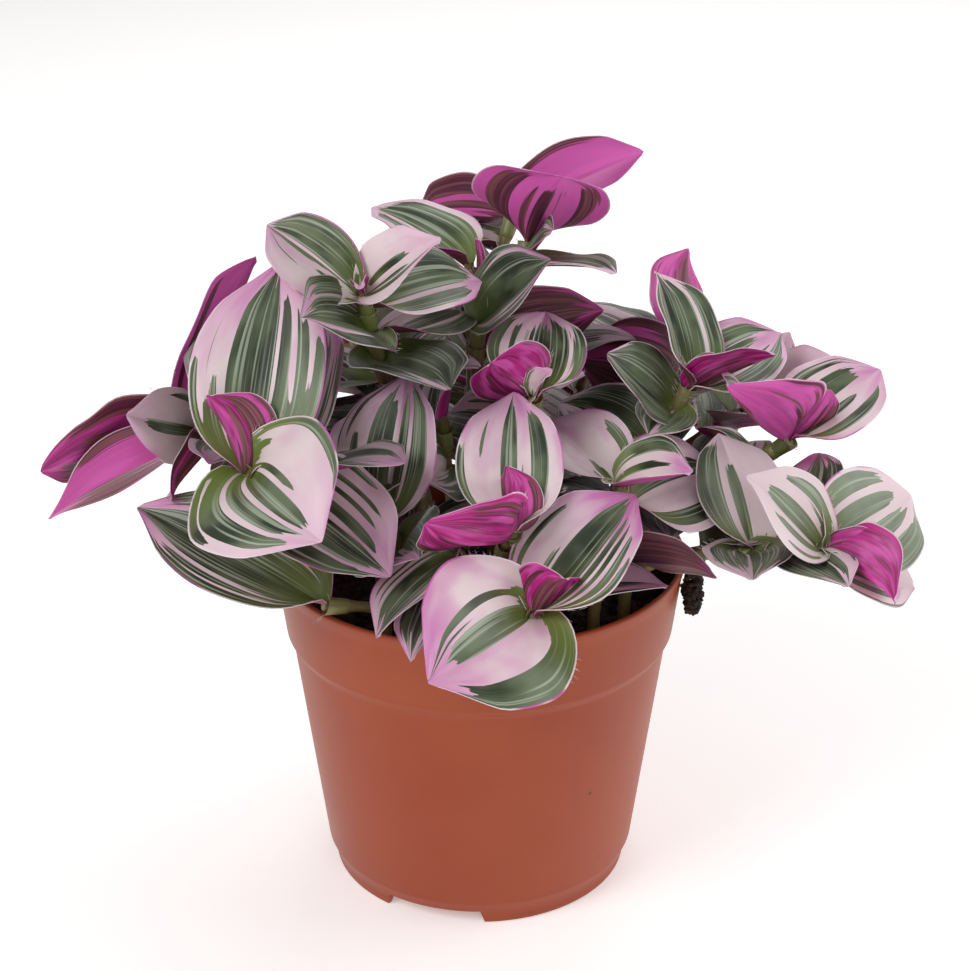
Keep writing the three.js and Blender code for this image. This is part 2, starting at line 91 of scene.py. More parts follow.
def add(tree: bpy.types.NodeTree, kind: str, inputs: dict | None = None, **settings) -> bpy.types.Node:
    """Adds a node with its settings and links.

    Args:
        tree: The tree that gets the node.
        kind: The node's type name.
        inputs: What connect gives the node's inputs.
        settings: Properties of the node.

    Returns:
        The new node.
    """
    node = tree.nodes.new(kind)
    for name, value in settings.items():
        setattr(node, name, value)
    connect(node, inputs or {})
    return node


def joined(tree: bpy.types.NodeTree, operation: str, *rises: tuple) -> bpy.types.Node:
    """Joins smooth rises of several values into one value.

    Args:
        tree: The material's tree.
        operation: What joins them, ADD or MULTIPLY.
        rises: A value and four limits each. As the value goes from the first limit to the second, the rise
            goes from the third to the fourth.

    Returns:
        The node that gives the joined value.
    """
    result = None
    for value, (low, high, start, end) in rises:
        inputs = {"Value": value, "From Min": low, "From Max": high, "To Min": start, "To Max": end}
        share = add(tree, "ShaderNodeMapRange", inputs, interpolation_type="SMOOTHSTEP")
        if result is not None:
            share = add(tree, "ShaderNodeMath", {"Value": result, "Value_001": share}, operation=operation)
        result = share
    return result


def layered(tree: bpy.types.NodeTree, colour: str | Source, *layers: tuple) -> bpy.types.Node:
    """Lays colours over one another.

    Args:
        tree: The material's tree.
        colour: The lowest colour, as a hex code or a node.
        layers: For each a value, the four limits of its rise, and the colour that the rise brings in. Without
            limits the value is the colour's share.

    Returns:
        The node that gives the colour.
    """
    for value, limits, over in layers:
        share = joined(tree, "ADD", (value, limits)) if limits else value
        inputs = {"Factor_Float": share, "A_Color": colour, "B_Color": over}
        colour = add(tree, "ShaderNodeMix", inputs, data_type="RGBA")
    return colour


def streaks(tree: bpy.types.NodeTree, blade: list, often: float, along_often: float, shift: float = 0.0,
            drift: float = 1.0, detail: float = 1.0, roughness: float = 0.5) -> bpy.types.Node:
    """Noise from 0 to 1 that is drawn out along a leaf or a stem, and is another on each one.

    Args:
        tree: The material's tree.
        blade: Sockets with the place across, the place along and the grain, which is each leaf's own number.
        often: How often it changes across.
        along_often: How often it changes along.
        shift: How far the grain moves it across.
        drift: How much the grain changes it.
        detail: How many finer layers it has.
        roughness: How strong each finer layer is.

    Returns:
        The noise node.
    """
    across, along, grain = blade
    moved = add(tree, "ShaderNodeMath", {"Value": grain, "Value_001": shift}, operation="MULTIPLY")
    inputs = {"Value": across, "Value_001": often, "Value_002": moved}
    point = add(tree, "ShaderNodeCombineXYZ", {
        "X": add(tree, "ShaderNodeMath", inputs, operation="MULTIPLY_ADD"),
        "Y": add(tree, "ShaderNodeMath", {"Value": along, "Value_001": along_often}, operation="MULTIPLY"),
        "Z": add(tree, "ShaderNodeMath", {"Value": grain, "Value_001": drift}, operation="MULTIPLY"),
    })
    inputs = {"Vector": point, "Scale": 1.0, "Detail": detail, "Roughness": roughness}
    return add(tree, "ShaderNodeTexNoise", inputs)


def blank_material(name: str) -> tuple[bpy.types.Material, bpy.types.NodeTree, bpy.types.Node]:
    """Makes a material with one Principled shader.

    Args:
        name: The material's name.

    Returns:
        The material, its node tree and the shader node.
    """
    material = bpy.data.materials.new(name)
    material.use_nodes = True
    tree = material.node_tree
    return material, tree, tree.nodes["Principled BSDF"]


# Finishes


class Side(Enum):
    """The two faces of a leaf."""

    UPPER = "upper"
    LOWER = "lower"


@dataclass(frozen=True)
class LeafFinish:
    """Living leaf: a satin skin over water-filled cells, so it gleams softly and its colours are deep.

    Green bands run with the veins over pale pink tissue. The underside has a magenta pigment under the same
    bands. The leaf's points carry blade (across, along, grain) and tone (greenness, light, flush). light is
    painted shade: it darkens the colours of leaves deep in the plant towards the shade colour. A high flush
    brightens the magenta underside, partly the leaf's own tone and partly painted light for top leaves lit
    through from behind.
    """

    side: Side
    green_dark: str = "2d3825"
    green_mid: str = "687659"
    green_silver: str = "b6c0ac"
    green_base: str = "6c7c34"
    pink_pale: str = "ebd8da"
    pink_mauve: str = "cf7fb8"
    margin_pale: str = "eedfe2"
    margin_magenta: str = "c24fa8"
    magenta: str = "b91a82"
    magenta_deep: str = "730e4b"
    magenta_bright: str = "f070cc"
    purple_dark: str = "4c2229"
    purple_mid: str = "865350"
    # painted shade: the near-black that the colours of leaves deep in the plant are darkened towards
    shade: str = "16130e"
    upper_roughness: float = 0.4
    lower_roughness: float = 0.48
    gloss: float = 0.45
    glow: float = 0.12
    glow_colour: tuple[float, float, float] = (1.0, 0.5, 0.7)
    glow_depth: float = 0.9
    bands: tuple[tuple[float, float, float], ...] = ((1.7, 0.35, 1.0), (5.2, 0.55, 0.75), (15.0, 0.9, 0.42))

    def material(self) -> bpy.types.Material:
        """Builds the material of one side.

        Returns:
            The material.
        """
        material, tree, shader = blank_material(f"leaf_{self.side.value}_face")
        blade, (greenness, light, flush) = [
            add(tree, "ShaderNodeSeparateXYZ", {
                "Vector": add(tree, "ShaderNodeAttribute", attribute_name=name).outputs["Vector"],
            }).outputs[:]
            for name in ("blade", "tone")
        ]
        off_rib = add(tree, "ShaderNodeMath", {"Value": blade[0]}, operation="ABSOLUTE")
        level = self.green_level(tree, blade, greenness)
        if self.side is Side.UPPER:
            colour = self.upper_colour(tree, blade, level, flush, off_rib)
            roughness = self.upper_roughness
        else:
            colour = self.lower_colour(tree, blade, level, flush, off_rib)
            roughness = self.lower_roughness
        connect(shader, {
            # painted shade: the leaf's colour is mixed towards the shade colour by its light value
            "Base Color": layered(tree, self.shade, (light, None, colour)),
            "Roughness": roughness,
            "Specular IOR Level": self.gloss,
            "Subsurface Weight": self.glow,
            "Subsurface Radius": self.glow_colour,
            "Subsurface Scale": self.glow_depth * MM,
            "Normal": self.relief(tree, blade),
        })
        return material

    def green_level(self, tree: bpy.types.NodeTree, blade: list, greenness: Source) -> bpy.types.Node:
        """Makes the value that is above 0 in green tissue: broad bands along the veins, split by finer ones.

        Args:
            tree: The material's tree.
            blade: Sockets with the place across, the place along and the grain.
            greenness: Socket with the leaf's lean towards green.

        Returns:
            The node that gives the value.
        """
        level = greenness
        for often, along_often, weight in self.bands:
            noise = streaks(tree, blade, often, along_often, shift=17.3, roughness=0.4)
            swing = add(tree, "ShaderNodeMath", {"Value": noise, "Value_001": 0.5}, operation="SUBTRACT")
            inputs = {"Value": swing, "Value_001": weight, "Value_002": level}
            level = add(tree, "ShaderNodeMath", inputs, operation="MULTIPLY_ADD")
        return level

    def upper_colour(self, tree: bpy.types.NodeTree, blade: list, level: Source, flush: Source,
                     off_rib: Source) -> bpy.types.Node:
        """Green bands with silver threads over pale pink, olive towards the base, mauve towards the tip.

        Args:
            tree: The material's tree.
            blade: Sockets with the place across, the place along and the grain.
            level: Node that is above 0 in green tissue.
            flush: Socket with the leaf's share of mauve.
            off_rib: Node with the distance from the middle rib.

        Returns:
            The node that gives the colour.
        """
        along = blade[1]
        fine = streaks(tree, blade, 22.0, 0.8, shift=31.0)
        slow = streaks(tree, blade, 2.2, 2.6, shift=1.0, drift=7.0, detail=2.0)
        green = layered(
            tree, self.green_dark,
            (slow, (0.35, 0.65, 0.0, 1.0), self.green_mid),
            (fine, (0.53, 0.68, 0.0, 0.7), self.green_silver),
            (flush, (0.0, 0.35, 0.55, 0.0), self.green_silver),
            (along, (0.0, 0.48, 0.9, 0.0), self.green_base),
        )
        rises = joined(
            tree, "ADD",
            (along, (0.45, 1.0, 0.0, 0.75)),
            (slow, (0.45, 0.7, 0.0, 0.4)),
            (off_rib, (0.7, 1.0, 0.0, 0.2)),
        )
        blush = add(tree, "ShaderNodeMath", {"Value": rises, "Value_001": flush}, operation="MULTIPLY")
        edge = layered(tree, self.margin_pale, (slow, (0.5, 0.6, 0.0, 1.0), self.margin_magenta))
        return layered(
            tree, self.pink_pale,
            (blush, None, self.pink_mauve),
            (along, (0.0, 0.2, 0.5, 0.0), self.green_base),
            (level, (-0.012, 0.012, 0.0, 1.0), green),
            (off_rib, (0.965, 0.985, 0.0, 0.8), edge),
        )

    def lower_colour(self, tree: bpy.types.NodeTree, blade: list, level: Source, flush: Source,
                     off_rib: Source) -> bpy.types.Node:
        """Magenta with dark purple bands under the green ones, and a thin pale margin. A high flush brightens
        the magenta, partly the leaf's own tone and partly painted light for top leaves lit through from behind.

        Args:
            tree: The material's tree.
            blade: Sockets with the place across, the place along and the grain.
            level: Node that is above 0 in green tissue.
            flush: Socket with the leaf's share of mauve.
            off_rib: Node with the distance from the middle rib.

        Returns:
            The node that gives the colour.
        """
        slow = streaks(tree, blade, 4.0, 2.0, detail=2.0)
        fine = streaks(tree, blade, 22.0, 1.0, drift=5.0)
        dark = layered(tree, self.purple_dark, (fine, (0.4, 0.65, 0.0, 1.0), self.purple_mid))
        return layered(
            tree, self.magenta,
            (fine, (0.42, 0.66, 0.0, 1.0), self.magenta_deep),
            (slow, (0.42, 0.62, 0.0, 0.45), self.magenta_bright),
            # partly painted light: a high flush, as the top leaves have, brightens the magenta as if lit through
            # from behind
            (flush, (0.6, 1.3, 0.0, 0.85), self.magenta_bright),
            (level, (0.0, 0.05, 0.0, 0.92), dark),
            (off_rib, (0.97, 0.99, 0.0, 0.75), self.margin_pale),
        )

    def relief(self, tree: bpy.types.NodeTree, blade: list) -> bpy.types.Node:
        """Makes fine ribs over the veins, about half a millimetre apart, and the grain of the skin's cells.

        Args:
            tree: The material's tree.
            blade: Sockets with the place across, the place along and the grain.

        Returns:
            The bump node.
        """
        ribs = streaks(tree, blade, 42.0, 1.2)
        place = add(tree, "ShaderNodeTexCoord").outputs["Object"]
        cells = add(tree, "ShaderNodeTexNoise", {"Vector": place, "Scale": 900.0, "Detail": 1.0})
        inputs = {"Value": cells, "Value_001": 0.18, "Value_002": ribs}
        height = add(tree, "ShaderNodeMath", inputs, operation="MULTIPLY_ADD")
        return add(tree, "ShaderNodeBump", {"Height": height, "Strength": 0.5, "Distance": 0.12 * MM})


@dataclass(frozen=True)
class StemFinish:
    """Fleshy stem and leaf sheath: smooth, yellow-green, flushed with purple threads along it."""

    name: str
    flesh: str = "7f8c4a"
    tan: str = "7d6a48"
    flush: str = "7c4061"
    roughness: float = 0.4
    glow: float = 0.15
    glow_depth: float = 1.0

    def material(self) -> bpy.types.Material:
        """Builds the material, with threads along the stem from the blade attribute (round, along, grain).

        Returns:
            The material.
        """
        material, tree, shader = blank_material(self.name)
        attribute = add(tree, "ShaderNodeAttribute", attribute_name="blade").outputs["Vector"]
        blade = add(tree, "ShaderNodeSeparateXYZ", {"Vector": attribute}).outputs[:]
        threads = streaks(tree, blade, 9.0, 0.7, detail=2.0)
        place = add(tree, "ShaderNodeTexCoord").outputs["Object"]
        patches = add(tree, "ShaderNodeTexNoise", {"Vector": place, "Scale": 60.0, "Detail": 3.0})
        connect(shader, {
            "Base Color": layered(
                tree, self.flesh,
                (patches, (0.35, 0.65, 0.0, 1.0), self.tan),
                (threads, (0.5, 0.7, 0.0, 0.6), self.flush),
            ),
            "Roughness": self.roughness,
            "Subsurface Weight": self.glow,
            "Subsurface Scale": self.glow_depth * MM,
            "Normal": add(tree, "ShaderNodeBump", {"Height": threads, "Strength": 0.4, "Distance": 0.1 * MM}),
        })
        return material


@dataclass(frozen=True)
class HairFinish:
    """Colourless hairs of single cells: they catch the light as white threads."""

    colour: str = "efe6e2"
    tint: str = "d9c3cb"
    roughness: float = 0.35

    def material(self) -> bpy.types.Material:
        """Builds the material, tinted here and there by noise about 2 mm long.

        Returns:
            The material.
        """
        material, tree, shader = blank_material("leaf_hair")
        place = add(tree, "ShaderNodeTexCoord").outputs["Object"]
        noise = add(tree, "ShaderNodeTexNoise", {"Vector": place, "Scale": 500.0, "Detail": 1.0})
        colour = layered(tree, self.colour, (noise, (0.3, 0.7, 0.0, 1.0), self.tint))
        connect(shader, {"Base Color": colour, "Roughness": self.roughness})
        return material


@dataclass(frozen=True)
class PotFinish:
    """Injection-moulded polypropylene, terracotta coloured: a satin skin with faint flow marks and dust."""

    body: str = "953c1c"
    pale: str = "a34e2b"
    crumb: str = "4a2c20"
    roughness: float = 0.42
    gloss: float = 0.36

    def material(self) -> bpy.types.Material:
        """Builds the material. Flow marks are about 20 mm long, and specks of soil are 1 to 2 mm across.

        Returns:
            The material.
        """
        material, tree, shader = blank_material("moulded_polypropylene")
        place = add(tree, "ShaderNodeTexCoord").outputs["Object"]
        slow = add(tree, "ShaderNodeTexNoise", {"Vector": place, "Scale": 22.0, "Detail": 3.0})
        skin = add(tree, "ShaderNodeTexNoise", {"Vector": place, "Scale": 1400.0, "Detail": 2.0})
        cells = add(tree, "ShaderNodeTexVoronoi", {"Vector": place, "Scale": 55.0}).outputs["Distance"]
        sparse = add(tree, "ShaderNodeTexNoise", {"Vector": place, "Scale": 48.0, "Detail": 0.0})
        speck = joined(
            tree, "MULTIPLY",
            (cells, (0.035, 0.06, 1.0, 0.0)),
            (sparse, (0.6, 0.66, 0.0, 1.0)),
        )
        connect(shader, {
            "Base Color": layered(
                tree, self.body,
                (slow, (0.3, 0.75, 0.0, 0.55), self.pale),
                (speck, None, self.crumb),
            ),
            "Roughness": joined(
                tree, "ADD",
                (slow, (0.2, 0.8, self.roughness - 0.05, self.roughness + 0.08)),
            ),
            "Specular IOR Level": self.gloss,
            "Normal": add(tree, "ShaderNodeBump", {"Height": skin, "Strength": 0.25, "Distance": 0.06 * MM}),
        })
        return material


@dataclass(frozen=True)
class SoilFinish:
    """Damp potting mix of peat and bark: nearly black, rough, with browner dry crumbs."""

    name: str = "potting_mix"
    damp: str = "20150f"
    dry: str = "4b3526"
    roughness: float = 0.92

    def material(self) -> bpy.types.Material:
        """Builds the material, with crumbs of about 1 mm.

        Returns:
            The material.
        """
        material, tree, shader = blank_material(self.name)
        place = add(tree, "ShaderNodeTexCoord").outputs["Object"]
        crumbs = add(tree, "ShaderNodeTexNoise", {"Vector": place, "Scale": 420.0, "Detail": 4.0})
        patches = add(tree, "ShaderNodeTexNoise", {"Vector": place, "Scale": 90.0, "Detail": 2.0})
        share = joined(
            tree, "MULTIPLY",
            (crumbs, (0.42, 0.7, 0.0, 1.0)),
            (patches, (0.3, 0.7, 0.3, 1.0)),
        )
        connect(shader, {
            "Base Color": layered(tree, self.damp, (share, None, self.dry)),
            "Roughness": self.roughness,
            "Normal": add(tree, "ShaderNodeBump", {"Height": crumbs, "Strength": 0.9, "Distance": 0.5 * MM}),
        })
        return material


# Meshes


def plain_mesh(name: str, points: np.ndarray, edges: list | None = None,
               faces: list | None = None) -> bpy.types.Mesh:
    """Makes a mesh.

    Args:
        name: The mesh's name.
        points: Its points in millimetres.
        edges: Vertex numbers of its loose edges.
        faces: Vertex numbers of its faces.

    Returns:
        The mesh, in metres.
    """
    mesh = bpy.data.meshes.new(name)
    mesh.from_pydata((points * MM).tolist(), edges or [], faces or [])
    return mesh


def ring_faces(rings: int, sides: int) -> list[tuple[int, ...]]:
    """Makes the faces between closed rings of points that follow one another.

    Args:
        rings: How many rings there are.
        sides: How many points each ring has.

    Returns:
        Each face's vertex numbers.
    """
    faces = []
    for low in range(0, (rings - 1) * sides, sides):
        high = low + sides
        faces += [(low + j, low + (j + 1) % sides, high + (j + 1) % sides, high + j) for j in range(sides)]
    return faces


def ring_caps(rings: int, sides: int) -> list[tuple[int, ...]]:
    """The two faces that close the first and the last ring."""
    last = (rings - 1) * sides
    return [tuple(range(sides - 1, -1, -1)), tuple(range(last, last + sides))]


def turned(profile: np.ndarray, sides: int) -> np.ndarray:
    """Turns a profile about the upright axis.

    Args:
        profile: Rows of radius and height.
        sides: How many points go round.

    Returns:
        The points, by row and angle.
    """
    angles = np.linspace(0, 2 * math.pi, sides, endpoint=False)
    return np.stack([np.outer(profile[:, 0], np.cos(angles)), np.outer(profile[:, 0], np.sin(angles)),
                     np.repeat(profile[:, 1:], sides, 1)], -1)


def square_to(ahead: np.ndarray) -> tuple[np.ndarray, np.ndarray]:
    """Finds two directions at right angles to a given one and to each other.

    Args:
        ahead: The given direction, of length 1.

    Returns:
        The two, of length 1.
    """
    across = np.cross(ahead, [0.3, 0.9, 0.1])
    across /= np.linalg.norm(across)
    return across, np.cross(ahead, across)


def piece_from(name: str, points: np.ndarray, faces: list, materials: list) -> bpy.types.Object:
    """Makes a mesh object at the origin from points in millimetres.

    Args:
        name: The piece's name.
        points: Its vertices, one row each.
        faces: Its faces, as lists of vertex numbers.
        materials: Its material slots.

    Returns:
        The new object, smooth shaded, with sharp edges where its faces turn by more than 50 degrees.
    """
    mesh = plain_mesh(name, points, faces=faces)
    for material in materials:
        mesh.materials.append(material)
    mesh.shade_smooth()
    mesh.set_sharp_from_angle(angle=math.radians(50))
    piece = bpy.data.objects.new(name, mesh)
    bpy.context.scene.collection.objects.link(piece)
    return piece


def store_vectors(piece: bpy.types.Object, name: str, values: np.ndarray) -> None:
    """Stores three values for each vertex of a piece."""
    attribute = piece.data.attributes.new(name, "FLOAT_VECTOR", "POINT")
    attribute.data.foreach_set("vector", values.astype(np.float32).ravel())


def settle(piece: bpy.types.Object, slot: str, *nodes: str) -> bpy.types.Object:
    """Makes a finished piece ride on the part, and hides the part's nodes that it stands for.

    Args:
        piece: The finished piece.
        slot: The slot of the part that it belongs to. It is not used.
        nodes: The part's nodes that it stands for.

    Returns:
        The piece.
    """
    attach(piece, BODY)
    if nodes:
        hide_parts(*nodes)
    log.info("%s: %d faces", piece.name, len(piece.data.polygons))
    return piece


# The plant's layout, as in the part's source


@dataclass(frozen=True)
class Leaf:
    """One leaf.

    It has how far below the stem's tip it grows, its chord's heading and rise, its size, its turn about its
    chord, how far it arches over and how far its halves fold up. pink, grain and lean set its stripes. bands
    are green bands of its own: each one's low and high edge across, from -1 to 1, and its start and end along,
    from 0 to 1. light is painted shade: below 1 its colours are darkened towards the shade colour, for a leaf
    that stands in shadow. flush is how mauve they are: with little of it, the green is silvery, and a high flush
    brightens the magenta underside, partly the leaf's own tone and partly painted light for a leaf lit through
    from behind.
    """

    below: float
    heading: float
    rise: float
    length: float
    width: float
    turn: float
    arch: float
    fold: float
    pink: float | None = None
    grain: float | None = None
    lean: float | None = None
    bands: tuple[tuple[float, float, float, float], ...] = ()
    # painted shade: how much of its own colour the leaf keeps against the shade colour
    light: float | None = None
    flush: float | None = None


@dataclass(frozen=True)
class Stem:
    """One leafy stem: the node it stands for, its root, its tip, the way it points there, and its leaves."""

    name: str
    root: tuple[float, float]
    tip: tuple[float, float, float]
    heading: float
    rise: float
    leaves: tuple[Leaf, ...] = ()

    @property
    def node(self) -> str:
        """The name of its node in the frame."""
        return f"leafy_stem_{self.name}"


def stem(name: str, root: tuple, tip: tuple, heading: float, rise: float, *leaves: tuple) -> Stem:
    """Makes a stem from rows of leaf values."""
    return Stem(name, root, tip, heading, rise, tuple(Leaf(*row) for row in leaves))


# The stems that the view shows, with their leaves. The tips of the stems, the headings and rises of the
# leaves and all but two of their turns were worked out by another program, from places read off the view, and
# are the same numbers as in the part's source.
# In the rows, a light below 1 is painted shade for a leaf in shadow, and a high flush is partly painted light
# that brightens the magenta underside of a leaf lit through from behind.
FRONT_STEMS = [
    stem("over_rim", (12, -38), (15, -63, 111), -75, 15,
         (2, 39, 36, 44, 34, 15, 10, 14, 0.42, 1.3, 0.2, (), 1.0, 1.2),
         (4, -127, -1, 44, 46, -40, 40, 8, 0.85, 2.2, 0.4, (), 1.0, 1.0), (0, -29, 59, 17, 22, -55, 30, 36),
         (7, 62, 36, 36, 34, -15, 10, 14)),
    stem("front_left", (-28, -16), (-63, -45, 145), -125, 30,
         (3, 78, 53, 60, 38, 5, 8, 12, 0.3, 3.1, 0.4, (), 1.0, 0.9),
         (4, -61, -1, 44, 46, 35, 55, 10, 0.25, 4.4, 0.9, (), 1.0, 0.5), (0, 152, 65, 23, 26, 95, 35, 38),
         (11, 71, 43, 54, 34, -5, 10, 14, 0.1, 5.2, 0), (14, 120, 46, 56, 34, 15, 10, 14, 0.15, 1.1, 0),
         (12, -40, -19, 46, 36, 20, 25, 12, 0.3, 2.7, -0.3, (), 0.85),
         (19, -38, -6, 46, 32, -5, 20, 12, 0.35, 6.3, 0, (), 0.6)),
    stem("far_right", (41, -26), (95, -40, 120), -30, 25,
         (0, -48, -13, 26, 28, -70, 0, 50, 0.6, 1.5, 0),
         (2, -163, 49, 34, 26, -50, 10, 22, 0.5, 6.2, 0.6, (), 1.0, 0.16),
         (2, 37, 11, 36, 34, 45, 10, 16, 0.3, 3.4, 0.3, (), 1.0, 0.12),
         (5, 11, -6, 34, 32, 25, 20, 12, 0.3, 1.7, 0, (), 1.0, 0.2), (0, -29, 15, 17, 12, -55, 0, 35),
         (21, 98, 33, 38, 28, 5, 20, 12, 0.4, 5.6, 0.3, (), 1.0, 0.24),
         (11, 62, 30, 40, 28, -25, 15, 12, 0.2, 2.6, 0), (14, -55, 1, 30, 24, 0, 15, 12),
         (24, -92, 8, 30, 26, 5, 20, 12)),
    stem("front_middle", (2, -30), (9, -50, 130), -90, 35,
         (2, 89, 44, 42, 30, 0, 10, 12, 0.6, 3.3, -0.5), (0, 100, 66, 18, 17, 135, 20, 30),
         (2, -131, 25, 38, 34, 45, -60, 20, 0.7, 2.1, 0)),
    stem("right_front", (32, -34), (37, -28, 134), 180, 40,
         (2, 125, 15, 36, 27, -15, 5, 25, 0.6, 7.1, 0.3), (1, -38, 24, 27, 26, 20, 5, 38, 0.5, 0.4, 0),
         (8, 34, 9, 34, 34, 35, 20, 12, 0.45, 2.5, 0.2),
         (24, -23, 13, 37, 26, -50, 15, 14, 0.1, 3.8, 0, (), 0.5)),
    stem("top_left", (-13, -4), (-31, -15, 185), -95, 70,
         (3, 148, 25, 36, 28, -55, 5, 42, 0.35, 6.6, 0.8), (1, -30, 41, 31, 23, 55, 0, 32, 0.6, 5.5, 0),
         (0, -97, 34, 10, 8, 20, 0, 50), (6, 25, 7, 35, 34, 15, 20, 14, 0.08, 4.1, 0),
         (16, 51, -5, 42, 34, 15, 25, 14, 0.15, 3.2, 0), (24, -83, 9, 40, 32, 0, 20, 12, 0.02, 1.9, 0, (), 0.5),
         (14, -120, 25, 36, 30, -35, 20, 14, 0.2, 8.1, 0, (), 0.75)),
    stem("right_outer", (44, -4), (88, -10, 140), -15, 45,
         (1, 32, 26, 36, 30, 20, 10, 16, 0.55, 2.9, 0), (0, -18, 45, 20, 18, -60, 0, 30, 0.4, 4.4, 0),
         (1, -143, 42, 34, 42, 15, -35, 42, 0.35, 2.2, 0), (14, 159, 34, 24, 14, 15, 0, 50)),
    stem("right_upper", (34, 8), (60, 5, 150), -20, 70,
         (1, 115, 55, 36, 30, 25, 5, 28, 0.25, 4.9, 0), (2, 25, 15, 38, 28, 25, 10, 18, 0.35, 5.8, 0),
         (4, 132, 3, 40, 36, 95, 10, 15, 0.15, 2.2, 0, (), 0.6), (3, -38, 24, 32, 20, -25, 10, 30, 0.3, 1.5, 0),
         (0, -15, 50, 14, 10, -40, 0, 45), (10, -147, 44, 34, 24, -50, 20, 14, 0.1, 2.0, 0),
         (8, -114, 20, 24, 18, -15, 10, 12, 0.15, 6.1, 0)),
    stem("middle", (10, -14), (15, -18, 156), -80, 60,
         (2, 82, 29, 34, 29, 5, 10, 14, 0.4, 3.9, 0), (1, -145, 37, 19, 26, 65, 30, 20, 0.6, 3.9, 0),
         (0, -71, 52, 14, 10, 85, 0, 35), (10, 131, -11, 34, 24, -30, 15, 14)),
    stem("right_middle", (24, -6), (49, -5, 136), -100, 70,
         (3, 150, 15, 33, 32, -15, 25, 12, 0.3, 5.1, 0), (7, 90, 15, 30, 24, 30, 10, 15)),
    stem("upper_middle", (4, 4), (0, 9, 168), -60, 76,
         (1, -27, 46, 32, 28, 45, 10, 22, 0.05, 3.6, 0, (), 0.72),
         (8, 21, 13, 38, 28, -70, 10, 18, 0.3, 1.0, 0, (), 0.8), (3, -90, 8, 26, 24, 100, 10, 15, 0.6, 1.0, 0),
         (2, 91, 51, 28, 15, 70, 0, 45)),
    stem("left_middle", (-14, -32), (-28, -38, 134), -90, 60,
         (3, 89, 27, 40, 28, 0, 15, 12, 0.3, 2.1, 0.5, (), 0.74),
         (10, 67, 36, 42, 32, -5, 15, 14, 0.3, 6.9, 0, (), 0.74), (20, -75, 17, 32, 30, 35, 20, 12)),
    stem("left_inner", (-6, -16), (-10, -12, 147), -90, 70,
         (4, 82, 24, 30, 24, -50, 5, 35), (16, -110, 16, 28, 22, -55, 15, 12)),
    stem("far_left", (-40, 6), (-83, 0, 140), 165, 25,
         (1, 63, 50, 54, 28, -80, 10, 15, 0.6, 2.4, 0, (), 1.0, 1.1),
         (1, -140, 0, 49, 32, 65, 15, 12, 0.4, 5.1, 0, (), 1.0, 0.8),
         (6, -148, -15, 52, 30, 60, 10, 14, 0.45, 1.4, 0, (), 1.0, 1.1),
         (3, -121, 27, 34, 22, -80, 10, 10, 0.75, 2.4, 0.6, (), 1.0), (9, -124, -12, 30, 20, 70, 10, 20)),
    stem("top", (8, 24), (14, 32, 185), 60, 60,
         (1, -65, 50, 34, 42, -25, 15, 14, 0.48, 6.4, 0, (), 1.0, 1.2),
         (8, -51, 13, 42, 22, -5, 10, 10, 0.35, 1.9, 0), (12, -65, 27, 30, 24, 40, 15, 12)),
    stem("top_back", (-4, 30), (11, 50, 190), 60, 50,
         (1, 13, 21, 42, 30, -60, 0, 12, 0.58, 4.2, 0, (), 1.0, 1.3),
         (4, 144, -8, 36, 28, 55, 5, 20, 0.3, 2.9, 0, (), 1.0, 1.1)),
    stem("upper_left", (-2, 18), (-3, 24, 181), 100, 80,
         (2, 139, 15, 40, 30, 0, 10, 20, 0.45, 4.6, 0)),
    stem("right_behind", (28, 24), (63, 38, 156), 60, 60,
         (3, 87, 31, 34, 26, -135, 0, 15)),
    stem("low_left", (-26, -38), (-43, -44, 105), -160, 20,
         (1, 156, 22, 60, 36, -20, 15, 12, 0.22, 7.7, 0)),
    stem("low_front", (-4, -44), (-5, -54, 125), -100, 25,
         (3, -135, -10, 34, 22, 10, 15, 25, 0.4, 1.2, 0, (), 0.8),
         (3, -118, -31, 34, 22, 25, 10, 20, 0.2, 3.0, 0, (), 0.8)),
]

BACK_STEMS = [
    stem("back_left", (-38, 22), (-72, 48, 122), 155, 25),
    stem("back_left_inner", (-20, 36), (-42, 65, 140), 120, 35),
    stem("back_middle", (4, 44), (-4, 72, 130), 95, 15),
    stem("back_right_inner", (24, 38), (34, 66, 130), 65, 35),
    stem("back_right", (42, 20), (86, 34, 132), 20, 25),
    stem("back_top", (-16, 22), (-34, 34, 160), 130, 60),
]


